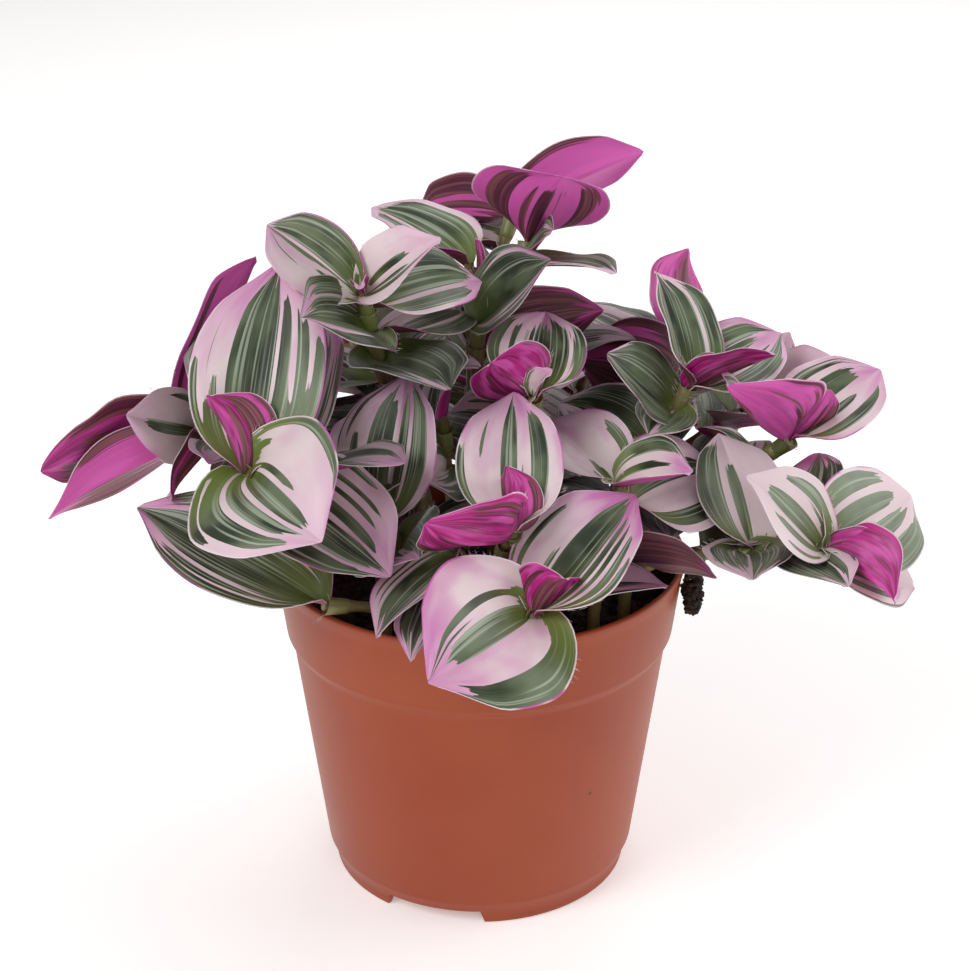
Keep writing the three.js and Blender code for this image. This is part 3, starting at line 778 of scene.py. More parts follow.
# The green bands of the leaves that face the front, by stem and leaf: low, high, start and end of each
BANDS = [
    ("front_left", 0, ((0.0, 0.46, 0.0, 0.97), (-0.18, -0.07, 0.0, 0.92), (-0.44, -0.27, 0.0, 0.88),
                       (-0.75, -0.54, 0.0, 0.9), (-1.0, -0.83, 0.0, 0.7), (-1.0, -0.24, 0.0, 0.46),
                       (0.58, 0.66, 0.0, 0.5), (0.88, 1.0, 0.0, 0.6), (0.5, 1.0, 0.0, 0.28))),
    ("front_left", 1, ((-0.97, -0.86, 0.1, 0.6), (-0.8, -0.5, 0.0, 0.93), (-0.44, -0.2, 0.0, 0.95),
                       (-0.14, 0.14, 0.0, 0.95), (0.2, 0.27, 0.0, 0.75), (0.88, 1.0, 0.1, 0.85))),
    ("front_left", 5, ((-1.0, -0.6, 0.0, 0.9), (-0.54, -0.3, 0.0, 0.92), (-0.23, 0.04, 0.0, 0.95),
                       (0.12, 0.3, 0.0, 0.92), (0.4, 0.5, 0.0, 0.85), (0.6, 0.7, 0.1, 0.85),
                       (0.84, 0.93, 0.1, 0.7))),
    ("over_rim", 0, ((-0.3, 0.2, 0.0, 0.95), (-0.48, -0.4, 0.1, 0.85), (-0.64, -0.56, 0.1, 0.8),
                     (-0.82, -0.72, 0.0, 0.7), (-0.98, -0.9, 0.0, 0.6), (0.3, 0.36, 0.0, 0.55),
                     (0.5, 0.54, 0.1, 0.5), (0.74, 0.82, 0.0, 0.7), (0.9, 0.97, 0.0, 0.45))),
    ("over_rim", 1, ((-0.2, 0.1, 0.0, 0.82), (0.56, 1.0, 0.0, 0.94))),
    ("front_middle", 0, ((-0.14, 0.14, 0.0, 0.93), (-0.72, -0.4, 0.05, 0.9), (-0.26, -0.22, 0.1, 0.6),
                         (0.52, 0.58, 0.5, 0.85), (0.84, 1.0, 0.0, 0.6))),
    ("top_left", 0, ((-1.0, -0.12, 0.0, 0.96), (0.2, 0.26, 0.2, 0.5))),
    ("top_left", 1, ((0.16, 0.36, 0.1, 0.72), (-0.14, 0.04, 0.1, 0.62), (-0.5, -0.26, 0.0, 0.9))),
    ("top_left", 3, ((-0.1, 1.0, 0.0, 0.95), (-0.9, -0.4, 0.0, 0.8))),
    ("right_front", 0, ((-0.85, -0.62, 0.05, 0.62), (-0.1, 0.14, 0.0, 0.38), (0.3, 0.38, 0.0, 0.25))),
    ("right_front", 2, ((0.1, 0.5, 0.0, 0.9), (-0.85, -0.5, 0.0, 0.85))),
    ("upper_left", 0, ((-0.8, -0.1, 0.0, 0.95), (0.2, 0.7, 0.1, 0.85))),
    ("right_upper", 0, ((-1.0, -0.64, 0.0, 0.9), (-0.56, -0.32, 0.0, 0.95), (-0.25, -0.02, 0.0, 0.97),
                        (0.06, 0.28, 0.0, 0.95), (0.36, 0.6, 0.0, 0.93), (0.68, 0.92, 0.0, 0.9))),
    ("far_right", 1, ((-0.3, 0.1, 0.0, 0.8), (0.3, 0.5, 0.1, 0.7), (-0.8, -0.6, 0.1, 0.7),
                      (0.75, 0.85, 0.1, 0.6))),
    ("far_right", 2, ((-1.0, -0.5, 0.0, 0.85), (-0.35, -0.05, 0.0, 0.9), (0.1, 0.45, 0.0, 0.9),
                      (0.6, 0.9, 0.0, 0.8))),
    ("far_right", 5, ((0.4, 1.0, 0.0, 0.9), (-0.1, 0.2, 0.0, 0.75), (-1.0, -0.85, 0.0, 0.7))),
    ("left_middle", 0, ((-0.45, 0.3, 0.0, 0.9), (-0.75, -0.58, 0.1, 0.8), (-1.0, -0.85, 0.0, 0.6))),
    ("left_middle", 1, ((0.0, 0.45, 0.0, 0.93), (-0.3, -0.12, 0.0, 0.85), (-0.75, -0.45, 0.0, 0.88),
                        (0.6, 0.7, 0.1, 0.6))),
    ("far_left", 3, ((-0.1, 0.25, 0.0, 0.85), (-0.9, -0.75, 0.0, 0.5))),
    ("right_outer", 0, ((0.1, 0.5, 0.05, 0.85), (-0.3, -0.1, 0.0, 0.7), (-0.8, -0.55, 0.1, 0.8))),
]


def drawing(seed: int) -> Callable[[], float]:
    """A repeatable stream of numbers from 0 to 1, the same as the part's source draws.

    Args:
        seed: Where the stream starts.

    Returns:
        A function that gives the next number.
    """
    full = 0xFFFFFFFF
    state = seed

    def draw() -> float:
        """Gives the next number from 0 to 1."""
        nonlocal state
        state = (state + 0x6D2B79F5) & full
        mixed = ((state ^ (state >> 15)) * (1 | state)) & full
        mixed = ((mixed + (mixed ^ (mixed >> 7)) * (61 | mixed)) & full) ^ mixed
        return ((mixed ^ (mixed >> 14)) & full) / 2**32

    return draw


def direction(heading: float, rise: float) -> np.ndarray:
    """The unit vector at a heading in plan and a rise over level, in degrees."""
    a, r = math.radians(heading), math.radians(rise)
    return np.array([math.cos(r) * math.cos(a), math.cos(r) * math.sin(a), math.sin(r)])


@dataclass
class StemPath:
    """The line of a stem: straight up out of the soil, then one sweep to its tip."""

    stem: Stem
    soil_top: float = 92
    root_depth: float = 20
    collar: float = 4
    sweep: float = 0.38
    points: np.ndarray = field(init=False)
    lengths: np.ndarray = field(init=False)

    def __post_init__(self) -> None:
        """Samples the line finely, with the length up to each point."""
        foot = np.array([*self.stem.root, self.soil_top - self.root_depth], float)
        collar = np.array([*self.stem.root, self.soil_top + self.collar], float)
        tip = np.array(self.stem.tip, float)
        reach = self.sweep * np.linalg.norm(tip - collar)
        rise_from = collar + [0, 0, reach]
        arrive_from = tip - reach * direction(self.stem.heading, self.stem.rise)
        t = np.linspace(0, 1, 400)[:, None]
        curve = ((1 - t) ** 3 * collar + 3 * (1 - t) ** 2 * t * rise_from
                 + 3 * (1 - t) * t**2 * arrive_from + t**3 * tip)
        self.points = np.vstack([foot, curve])
        self.lengths = np.concatenate([[0], np.cumsum(np.linalg.norm(np.diff(self.points, axis=0), axis=1))])

    @property
    def length(self) -> float:
        """The whole length, with the root in the soil."""
        return float(self.lengths[-1])

    def at(self, below_tip: float) -> np.ndarray:
        """The point that lies a given length below the tip."""
        along = self.length - below_tip
        return np.array([np.interp(along, self.lengths, self.points[:, i]) for i in range(3)])

    def towards_tip(self, below_tip: float) -> np.ndarray:
        """The unit vector along the stem at a given length below the tip."""
        ahead = self.at(max(0.0, below_tip - 0.5)) - self.at(below_tip + 0.5)
        return ahead / np.linalg.norm(ahead)


@dataclass
class Layout:
    """Which leaves each stem carries, and how each is bent clear of its neighbours, as the nodes show.

    match is how far a leaf's corners may lie from its node's, in millimetres. straighter is how much closer
    each further step of a bend has to bring them.
    """

    seed: int = 20
    bend_step: float = 6
    tip_lengths: tuple[float, ...] = (24, 35, 41, 45, 47)
    match: float = 2.0
    straighter: float = 0.1

    def tip_leaves(self, heading: float, draw: Callable[[], float]) -> list[Leaf]:
        """Makes the leaves from the tip down: each turns further, lies flatter and is longer.

        Args:
            heading: The stem's heading in degrees.
            draw: Gives the next random number.

        Returns:
            The leaves.
        """
        made = []
        for i, length in enumerate(self.tip_lengths):
            side = 1 if i % 2 == 0 else -1
            spread = side * (30 + 13 * i) + 20 * (draw() - 0.5)
            rise = 46 - 11 * i + 12 * (draw() - 0.5)
            size = length + 4 * (draw() - 0.5)
            turn = 30 * (draw() - 0.5)
            width, arch, fold = 0.68 * size, 10 + 3 * i, 30 - 4 * i
            made.append(Leaf(1 + 5 * i, heading + spread, rise, size, width, turn, arch, fold))
        return made

    def shade_leaves(self, item: Stem, leaves: list[Leaf], height: float,
                     draw: Callable[[], float]) -> list[Leaf]:
        """Adds leaves in the shade below, on alternate sides of the stem down to the soil.

        Args:
            item: The stem.
            leaves: The leaves that it has near its tip.
            height: The stem's length above the soil.
            draw: Gives the next random number.

        Returns:
            The leaves in the shade.
        """
        made = []
        below = max(leaf.below for leaf in leaves) + 11
        start = item.heading + 90 + 60 * (draw() - 0.5)
        while below < height - 16:
            side = 0 if len(made) % 2 == 0 else 180
            rise = 12 + 20 * (draw() - 0.5)
            size = 36 + 6 * draw()
            made.append(Leaf(below, start + side + 30 * (draw() - 0.5), rise, size, 0.64 * size, 0, 18, 14))
            below += 17
        return made

    def bends(self) -> Iterator[tuple[float, float, float]]:
        """Lists the ways in which a leaf may be bent: its turn in heading and rise, and its scale.

        Returns:
            The ways one by one, from no bend to the largest, then the same again with a smaller leaf.
        """
        for scale in (1, 0.85, 0.72):
            yield 0.0, 0.0, scale
            for ring in range(1, 6):
                for side in range(8):
                    angle = side * math.pi / 4
                    step = self.bend_step * ring
                    yield step * math.cos(angle), step * math.sin(angle), scale

    def as_grown(self, wanted: Leaf, base: np.ndarray, corners: KDTree) -> Leaf | None:
        """Finds the bend with which a leaf's corners are those of its node.

        Args:
            wanted: The leaf as the layout asks for it.
            base: Where it grows.
            corners: The node's vertices, in millimetres.

        Returns:
            The bent leaf, or None where the node has no such leaf.
        """
        best, least = None, self.match
        for turn, lift, scale in self.bends():
            leaf = replace(wanted, heading=wanted.heading + turn, rise=wanted.rise + lift,
                           length=wanted.length * scale, width=wanted.width * scale)
            probes = Blade(leaf).spots(base, (0.2, 0.65), (-1.0, 0.0, 1.0))
            steps = math.hypot(turn, lift) / self.bend_step
            furthest = max(corners.find(Vector(p))[2] for p in probes) + self.straighter * steps
            if furthest < least:
                best, least = leaf, furthest
        return best

    def grow(self) -> list[tuple[StemPath, list[Leaf]]]:
        """Lays out all the stems.

        Returns:
            Each stem's path with its leaves.
        """
        draw = drawing(self.seed)
        paths = [StemPath(item) for item in [*FRONT_STEMS, *BACK_STEMS]]
        wanted = [list(p.stem.leaves) or self.tip_leaves(p.stem.heading, draw) for p in paths]
        for name, number, bands in BANDS:
            leaves = next(leaves for path, leaves in zip(paths, wanted) if path.stem.name == name)
            leaves[number] = replace(leaves[number], bands=bands)
        for path, leaves in zip(paths, wanted):
            height = path.length - path.root_depth
            leaves += self.shade_leaves(path.stem, leaves, height, draw)
        plan = []
        for path, leaves in zip(paths, wanted):
            corners = node_corners(path.stem.node)
            grown = [self.as_grown(leaf, path.at(leaf.below), corners) for leaf in leaves]
            plan.append((path, [leaf for leaf in grown if leaf is not None]))
            log.info("%s: %d leaves of %d", path.stem.name, len(plan[-1][1]), len(leaves))
        return plan


def node_corners(node: str) -> KDTree:
    """Collects the vertices of a node of the frame, in millimetres, for finding the nearest one.

    Args:
        node: The node's name.

    Returns:
        A tree of the vertices.
    """
    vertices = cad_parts[node].data.vertices
    tree = KDTree(len(vertices))
    for i, vertex in enumerate(vertices):
        tree.insert(vertex.co / MM, i)
    tree.balance()
    return tree


# Leaves


@dataclass
class Blade:
    """The form of one leaf: an arched spine, an outline about it, and two halves that fold up from it."""

    leaf: Leaf
    fullest: float = 0.43
    base_power: float = 0.52
    tip_power: float = 0.66
    tip_narrowing: float = 0.55
    tip_from: float = 0.76
    straight_arch: float = 0.5
    clasp_angle: float = 78
    clasp_fade: float = 0.09
    clasp_half_gap: float = 1.4
    foot_half_width: float = 0.9
    thickness: float = 0.45
    rows: int = 27
    columns: int = 23
    banded_columns: int = 41

    def half_width(self, s: np.ndarray) -> np.ndarray:
        """Works out half the blade's width.

        Args:
            s: Shares of the way from base to tip.

        Returns:
            Half the width at each, in millimetres.
        """
        def outline(x: np.ndarray) -> np.ndarray:
            """Height of a leaf's outline over its middle line."""
            return (x + 0.01) ** self.base_power * np.maximum(0, 1 - x) ** self.tip_power

        return self.leaf.width / 2 * outline(s) / outline(np.array(self.fullest))

    def frame_axes(self) -> np.ndarray:
        """Works out the directions of the chord, the side and the face.

        Returns:
            The three directions, one in each row.
        """
        leaf = self.leaf
        chord = direction(leaf.heading, leaf.rise)
        upright = direction(leaf.heading, leaf.rise + 90)
        turn = math.radians(leaf.turn)
        face = upright * math.cos(turn) + np.cross(chord, upright) * math.sin(turn)
        return np.array([chord, np.cross(face, chord), face])

    def middle(self, s: np.ndarray, t: np.ndarray, half: np.ndarray) -> tuple[np.ndarray, np.ndarray]:
        """The middle surface in the blade's own axes, and the spine's upward direction at each row.

        Args:
            s: Shares of the way from base to tip, as a column.
            t: Places across, from -1 to 1, as a row.
            half: Half the width at each row.

        Returns:
            Points by row and column, and the direction in which the halves lift, by row.
        """
        bend = math.radians(self.leaf.arch or self.straight_arch)
        radius = self.leaf.length / (2 * math.sin(bend / 2))
        slope = bend * (0.5 - s)
        clasp = (self.clasp_angle - self.leaf.fold) * np.exp(-s / self.clasp_fade)
        wanted = np.radians(self.leaf.fold + clasp)
        limit = np.arccos(np.minimum(1, self.clasp_half_gap / np.maximum(half, 1e-6)))
        fold = np.minimum(wanted, limit)
        lift = half * np.abs(t) ** 1.5 * np.sin(fold)
        up = np.stack([-np.sin(slope), np.zeros_like(slope), np.cos(slope)], -1)
        spine = np.stack([radius * (math.sin(bend / 2) - np.sin(slope)), np.zeros_like(slope),
                          radius * (np.cos(slope) - math.cos(bend / 2))], -1)
        side = np.stack([np.zeros_like(lift), half * t * np.cos(fold), np.zeros_like(lift)], -1)
        return spine + side + lift[..., None] * up, up

    def greenness(self, s: np.ndarray, t: np.ndarray, pink: float, lean: float) -> np.ndarray:
        """How far each point leans towards green: by the leaf's own bands, or by how pink it is on each half.

        Args:
            s: Shares of the way from base to tip.
            t: Places across, from -1 to 1.
            pink: How much of the leaf is pink, from 0 to 1.
            lean: Which half is greener, from -1 to 1.

        Returns:
            Above 0 where the leaf leans towards green.
        """
        def rise(value: np.ndarray, low: float, high: float) -> np.ndarray:
            """Goes from 0 to 1 as value goes from low to high."""
            return np.clip((value - low) / (high - low), 0, 1)

        if not self.leaf.bands:
            tip, foot = 0.26 * rise(s, 0.68, 1.0), 0.08 * (1 - rise(s, 0.0, 0.25))
            rib = 0.04 * (1 - rise(np.abs(t), 0.02, 0.2))
            return 0.5 * (0.52 - pink) + 0.13 * lean * t - tip + foot + rib
        inside = np.zeros(s.shape)
        for low, high, start, end in self.leaf.bands:
            over = rise(t, low - 0.04, low + 0.04) * (1 - rise(t, high - 0.04, high + 0.04))
            reach = rise(s, start - 0.06, start + 0.06) * (1 - rise(s, end - 0.2, end + 0.04))
            inside = np.maximum(inside, over * reach)
        return np.maximum(0.7 * inside - 0.22, 0.24 - 2.4 * s)

    def spots(self, base: np.ndarray, stations: tuple, across: tuple) -> np.ndarray:
        """Finds points of the frame's plain blade: its tip, and places across at some stations.

        Args:
            base: Where the blade grows from its stem.
            stations: Shares of the way from base to tip.
            across: Places across, from -1 to 1.

        Returns:
            The points in millimetres, one in each row.
        """
        s = np.array(stations)[:, None]
        points, _ = self.middle(s, np.array(across)[None, :], self.half_width(s))
        tip, _ = self.middle(np.array([[1.0]]), np.array([[0.0]]), np.zeros((1, 1)))
        return np.vstack([points.reshape(-1, 3), tip.reshape(-1, 3)]) @ self.frame_axes() + base

    def surface(self, chance: np.random.Generator) -> tuple[np.ndarray, np.ndarray, np.ndarray]:
        """The fine middle surface, with a live leaf's small waves.

        Args:
            chance: Where the leaf's own differences come from.

        Returns:
            Points by row and column in the blade's axes, and s and t at each.
        """
        leaf = self.leaf
        x = np.linspace(0, 1, self.rows)
        s = (0.55 * x + 0.45 * (1 - np.cos(math.pi * x)) / 2)[:, None]
        t = np.linspace(-1, 1, self.banded_columns if leaf.bands else self.columns)[None, :]
        past = np.clip((s - self.tip_from) / (1 - self.tip_from), 0, 1)
        half = self.half_width(s) * (1 - self.tip_narrowing * past**1.3)
        points, up = self.middle(s, t, half)
        settled = 1 - np.exp(-s / 0.12)
        pillow = 0.085 * half * np.sin(math.pi * np.abs(t)) * settled
        waves = chance.uniform(1.2, 2.4, 2)
        phases = chance.uniform(0, 2 * math.pi, 2)
        height = chance.uniform(0.008, 0.022, 2) * leaf.length
        which = (t > 0).astype(int)
        wave = height[which] * t**2 * np.sin(2 * math.pi * waves[which] * s + phases[which]) * settled
        groove = -0.3 * np.exp(-((t / 0.07) ** 2)) * (1 - s)
        curl = chance.uniform(-0.6, 1.6) * -np.clip((s - 0.7) / 0.3, 0, 1) ** 2
        points = points + (pillow + wave + groove + curl)[..., None] * up
        sway = chance.uniform(-0.03, 0.03) * leaf.length * np.sin(math.pi * s) * np.ones_like(t)
        points[..., 1] += sway
        return points, np.broadcast_to(s, wave.shape), np.broadcast_to(t, wave.shape)


@dataclass
class Hairs:
    """Fine hairs round each leaf's foot: a ring at the mouth of its sheath and a fringe up both margins."""

    shortest: float = 1.4
    longest: float = 3.4
    thickness: float = 0.07
    round_mouth: int = 12
    up_margin: int = 9
    mouth_radius: float = 2.6
    mouth_below: float = 0.3
    fringe: tuple[float, float] = (0.04, 0.3)
    roots: list[np.ndarray] = field(default_factory=list)
    ways: list[np.ndarray] = field(default_factory=list)

    def grow(self, form: Blade, path: StemPath, base: np.ndarray, chance: np.random.Generator) -> None:
        """Roots the hairs of one leaf.

        Args:
            form: The blade that they fringe.
            path: The stem that its sheath clasps.
            base: Where the leaf grows.
            chance: Where their own differences come from.
        """
        ahead = path.towards_tip(form.leaf.below)
        across, over = square_to(ahead)
        for angle in chance.uniform(0, 2 * math.pi, self.round_mouth):
            out = math.cos(angle) * across + math.sin(angle) * over
            self.roots.append(path.at(form.leaf.below + self.mouth_below) + self.mouth_radius * out)
            self.ways.append((0.8 * ahead + out) * chance.uniform(self.shortest, self.longest))
        s = np.sort(chance.uniform(*self.fringe, self.up_margin))[:, None]
        rim, _ = form.middle(s, np.array([[-1.0, 1.0]]), form.half_width(s))
        axes = form.frame_axes()
        for row in rim:
            for point, side in zip(row, (-1, 1)):
                lean = np.array([0.3, side * 0.8, 0.6]) + chance.uniform(-0.25, 0.25, 3)
                self.roots.append(point @ axes + base)
                self.ways.append(lean @ axes * chance.uniform(self.shortest, 0.6 * self.longest))

    def piece(self, material: bpy.types.Material) -> bpy.types.Object:
        """Draws every hair as a slim cone.

        Args:
            material: The hairs' material.

        Returns:
            The piece.
        """
        mesh = plain_mesh("hair_roots", np.array(self.roots))
        ways = mesh.attributes.new("way", "FLOAT_VECTOR", "POINT")
        ways.data.foreach_set("vector", (np.array(self.ways) * MM).astype(np.float32).ravel())
        return from_nodes("leaf_hairs", mesh, hair_tree(material), {"Thickness": self.thickness * MM})


UPPER_SLOT, LOWER_SLOT, SHEATH_SLOT = 0, 1, 2

# The sheath from its foot on the stem up to its mouth and back inside: length below the mouth, and radius
SHEATH_PROFILE = (
    (7.0, 1.5), (6.6, 2.0), (5.0, 2.25), (2.6, 2.4), (0.2, 2.75), (-0.1, 2.6), (0.6, 2.2), (1.6, 1.6),
)


@dataclass
class LeafMesh:
    """Collects the blades and sheaths of one stem into one mesh."""

    points: list[np.ndarray] = field(default_factory=list)
    blade: list[np.ndarray] = field(default_factory=list)
    tone: list[np.ndarray] = field(default_factory=list)
    faces: list[tuple[int, ...]] = field(default_factory=list)
    slots: list[int] = field(default_factory=list)
    count: int = 0

    def extend(self, points: np.ndarray, blade: np.ndarray, tone: np.ndarray, faces: list,
               slots: list) -> None:
        """Adds vertices with their attributes, and faces with their material slots.

        Args:
            points: The vertices' places.
            blade: Each one's place across and along its leaf, and the leaf's grain.
            tone: Each one's greenness, light, which is painted shade, and flush.
            faces: Vertex numbers of each face, counted from the first added.
            slots: Each face's material slot.
        """
        self.faces += [tuple(i + self.count for i in face) for face in faces]
        self.slots += slots
        self.points.append(points)
        self.blade.append(blade)
        self.tone.append(tone)
        self.count += len(points)

    def add_blade(self, form: Blade, base: np.ndarray, marks: tuple, light: float,
                  chance: np.random.Generator) -> None:
        """Adds one closed blade: an upper and a lower skin that meet in the tip, with a rim between them.

        Args:
            form: The blade's form.
            base: Where it grows from its stem, in millimetres.
            marks: The numbers that set its stripes: its grain, how pink it is and which half is greener.
            light: Its painted shade: how much of its own colour it keeps against the shade colour.
            chance: Where its own differences come from.
        """
        middle, s, t = form.surface(chance)
        along = np.gradient(middle, axis=0)
        over = np.gradient(middle, axis=1)
        normal = np.cross(along, over)
        normal /= np.maximum(np.linalg.norm(normal, axis=-1, keepdims=True), 1e-9)
        rows, columns = middle.shape[0] - 1, middle.shape[1]
        thick = form.thickness / 2 * (1 - 0.45 * t**4) * (1 - 0.4 * s)
        upper = (middle + thick[..., None] * normal)[:rows].reshape(-1, 3)
        lower = (middle - thick[..., None] * normal)[:rows].reshape(-1, 3)
        points = np.vstack([upper, lower, middle[-1, columns // 2][None]]) @ form.frame_axes() + base
        own = np.stack([t[:rows].ravel(), s[:rows].ravel()], -1)
        blade = np.vstack([own, own, [[0.0, 1.0]]])
        grain, pink, lean = marks
        flush = chance.uniform(0.35, 1.0) if form.leaf.flush is None else form.leaf.flush
        blade = np.hstack([blade, np.full((len(blade), 1), grain)])
        # tone carries greenness, the painted shade of light, and flush
        tone = np.stack([form.greenness(blade[:, 1], blade[:, 0], pink, lean), np.full(len(blade), light),
                         np.full(len(blade), flush)], -1)
        skin = rows * columns
        tip = 2 * skin
        faces, slots = [], []
        for i in range(rows):
            for j in range(columns - 1):
                a, d = i * columns + j, i * columns + j + 1
                if i == rows - 1:
                    faces += [(a, tip, d), (a + skin, d + skin, tip)]
                else:
                    b, c = a + columns, d + columns
                    faces += [(a, b, c, d), (a + skin, d + skin, c + skin, b + skin)]
                slots += [UPPER_SLOT, LOWER_SLOT]
            left, right = i * columns, i * columns + columns - 1
            if i == rows - 1:
                faces += [(left, left + skin, tip), (right, tip, right + skin)]
            else:
                after, beyond = left + columns, right + columns
                faces += [(left, left + skin, after + skin, after),
                          (right, beyond, beyond + skin, right + skin)]
            slots += [UPPER_SLOT, UPPER_SLOT]
        for j in range(columns - 1):
            faces.append((j, j + 1, j + 1 + skin, j + skin))
            slots.append(UPPER_SLOT)
        self.extend(points, blade, tone, faces, slots)

    def add_sheath(self, path: StemPath, below: float, grain: float, sides: int = 14) -> None:
        """Adds the sleeve with which a leaf clasps its stem: it widens to a mouth under the blade.

        Args:
            path: The stem's path.
            below: How far below the stem's tip the leaf grows.
            grain: The leaf's own number.
            sides: How many points go round.
        """
        rings, blade = [], []
        angles = np.linspace(0, 2 * math.pi, sides, endpoint=False)
        longest = SHEATH_PROFILE[0][0]
        for place, radius in SHEATH_PROFILE:
            centre, ahead = path.at(max(0.0, below + place)), path.towards_tip(below + place)
            across, over = square_to(ahead)
            around = np.outer(np.cos(angles), across) + np.outer(np.sin(angles), over)
            rings.append(centre + radius * around)
            share, grains = np.full(sides, place / longest), np.full(sides, grain)
            blade.append(np.stack([np.cos(angles), share, grains], -1))
        faces = ring_faces(len(rings), sides) + ring_caps(len(rings), sides)
        tone = np.tile((0.0, 1.0, 0.0), (sides * len(rings), 1))
        self.extend(np.vstack(rings), np.vstack(blade), tone, faces, [SHEATH_SLOT] * len(faces))

    def piece(self, name: str, materials: list) -> bpy.types.Object:
        """Turns what was collected into one piece with its attributes.

        Args:
            name: The piece's name.
            materials: Its materials, in the order of the slots.

        Returns:
            The piece.
        """
        made = piece_from(name, np.vstack(self.points), self.faces, materials)
        made.data.polygons.foreach_set("material_index", self.slots)
        store_vectors(made, "blade", np.vstack(self.blade))
        store_vectors(made, "tone", np.vstack(self.tone))
        return made


@dataclass
class LeafyStem:
    """One stem with its leaves: the blades and sheaths as one mesh, and the stem that Geometry Nodes draw."""

    path: StemPath
    leaves: list[Leaf]
    number: int
    foot_radius: float = 1.9
    tip_radius: float = 1.45
    joint_swell: float = 0.45
    # painted shade: a leaf's colours darken from shade_from to shade_to below the tip, by up to deepest_shade
    shade_from: float = 8
    shade_to: float = 42
    deepest_shade: float = 0.62
    pinkest_in_light: float = 0.75
    pinkest_in_shade: float = 0.4
    sheath_room: float = 8
    joint_below: float = 6
    joint_spread: float = 1.7
    step: float = 1.2

    def dress(self, materials: dict[str, bpy.types.Material], tube: bpy.types.NodeTree, hairs: Hairs) -> None:
        """Builds both pieces, settles them on the part and roots the leaves' hairs.

        Args:
            materials: The materials by name.
            tube: The geometry tree that draws a stem.
            hairs: What collects the roots of the hairs.
        """
        mesh = LeafMesh()
        for i, leaf in enumerate(self.leaves):
            chance = np.random.default_rng(1000 * self.number + i)
            grain = chance.uniform(0, 9) if leaf.grain is None else leaf.grain
            pinkest = self.pinkest_in_light if leaf.below < self.shade_from else self.pinkest_in_shade
            pink = chance.uniform(0.1, pinkest) if leaf.pink is None else leaf.pink
            lean = chance.uniform(-1, 1) if leaf.lean is None else leaf.lean
            stripes = (grain, pink, lean)
            mesh.add_blade(Blade(leaf), self.path.at(leaf.below), stripes, self.light(leaf), chance)
            if leaf.below + self.sheath_room < self.path.length - self.path.root_depth:
                mesh.add_sheath(self.path, leaf.below, grain)
                hairs.grow(Blade(leaf), self.path, self.path.at(leaf.below), chance)
        name = self.path.stem.node
        finishes = [materials["upper"], materials["lower"], materials["sheath"]]
        settle(mesh.piece(f"{name}_leaves", finishes), "striped_leaf", name)
        settle(self.tube_piece(f"{name}_stalk", tube), "striped_leaf", name)

    def light(self, leaf: Leaf) -> float:
        """Works out a leaf's painted shade: the colours of those deep in the plant are darkened.

        Args:
            leaf: The leaf.

        Returns:
            How much of the leaf's own colour stays against the painted shade, from 0 to 1.
        """
        if leaf.light is not None:
            return leaf.light
        share = (leaf.below - self.shade_from) / (self.shade_to - self.shade_from)
        return 1 - self.deepest_shade * min(1.0, max(0.0, share))

    def tube_piece(self, name: str, tube: bpy.types.NodeTree) -> bpy.types.Object:
        """Draws the stem along its path, swollen where each leaf is joined to it.

        Args:
            name: The piece's name.
            tube: The geometry tree that draws it.

        Returns:
            The piece.
        """
        below = np.arange(self.path.length, 0, -self.step)
        points = np.array([self.path.at(b) for b in below])
        girth = self.tip_radius + (self.foot_radius - self.tip_radius) * below / self.path.length
        for leaf in self.leaves:
            past = (below - leaf.below - self.joint_below) / self.joint_spread
            girth += self.joint_swell * np.exp(-(past**2))
        girth = np.minimum(girth, self.foot_radius + self.joint_swell)
        mesh = plain_mesh(name, points, edges=[(i, i + 1) for i in range(len(points) - 1)])
        attribute = mesh.attributes.new("girth", "FLOAT", "POINT")
        attribute.data.foreach_set("value", (girth * MM).astype(np.float32))
        return from_nodes(name, mesh, tube, {})


# Geometry Nodes


def geometry_tree(name: str,
                  sizes: dict[str, tuple[str, float]]) -> tuple[bpy.types.NodeTree, bpy.types.Node]:
    """Starts a geometry tree with named inputs.

    Args:
        name: The tree's name.
        sizes: Input name to its socket type and default value.

    Returns:
        The tree and its group input node.
    """
    tree = bpy.data.node_groups.new(name, "GeometryNodeTree")
    tree.interface.new_socket("Geometry", in_out="INPUT", socket_type="NodeSocketGeometry")
    for label, (kind, value) in sizes.items():
        tree.interface.new_socket(label, in_out="INPUT", socket_type=kind).default_value = value
    tree.interface.new_socket("Geometry", in_out="OUTPUT", socket_type="NodeSocketGeometry")
    return tree, tree.nodes.new("NodeGroupInput")


def finish_tree(tree: bpy.types.NodeTree, geometry: bpy.types.NodeSocket,
                material: bpy.types.Material) -> None:
    """Ends a geometry tree: instances are realised, shaded smooth and given their material.

    Args:
        tree: The tree.
        geometry: Socket with what the tree has made.
        material: The material of all of it.
    """
    real = add(tree, "GeometryNodeRealizeInstances", {"Geometry": geometry})
    smooth = add(tree, "GeometryNodeSetShadeSmooth", {"Geometry": real.outputs[0]})
    dressed = add(tree, "GeometryNodeSetMaterial", {"Geometry": smooth.outputs[0], "Material": material})
    tree.links.new(dressed.outputs[0], tree.nodes.new("NodeGroupOutput").inputs[0])


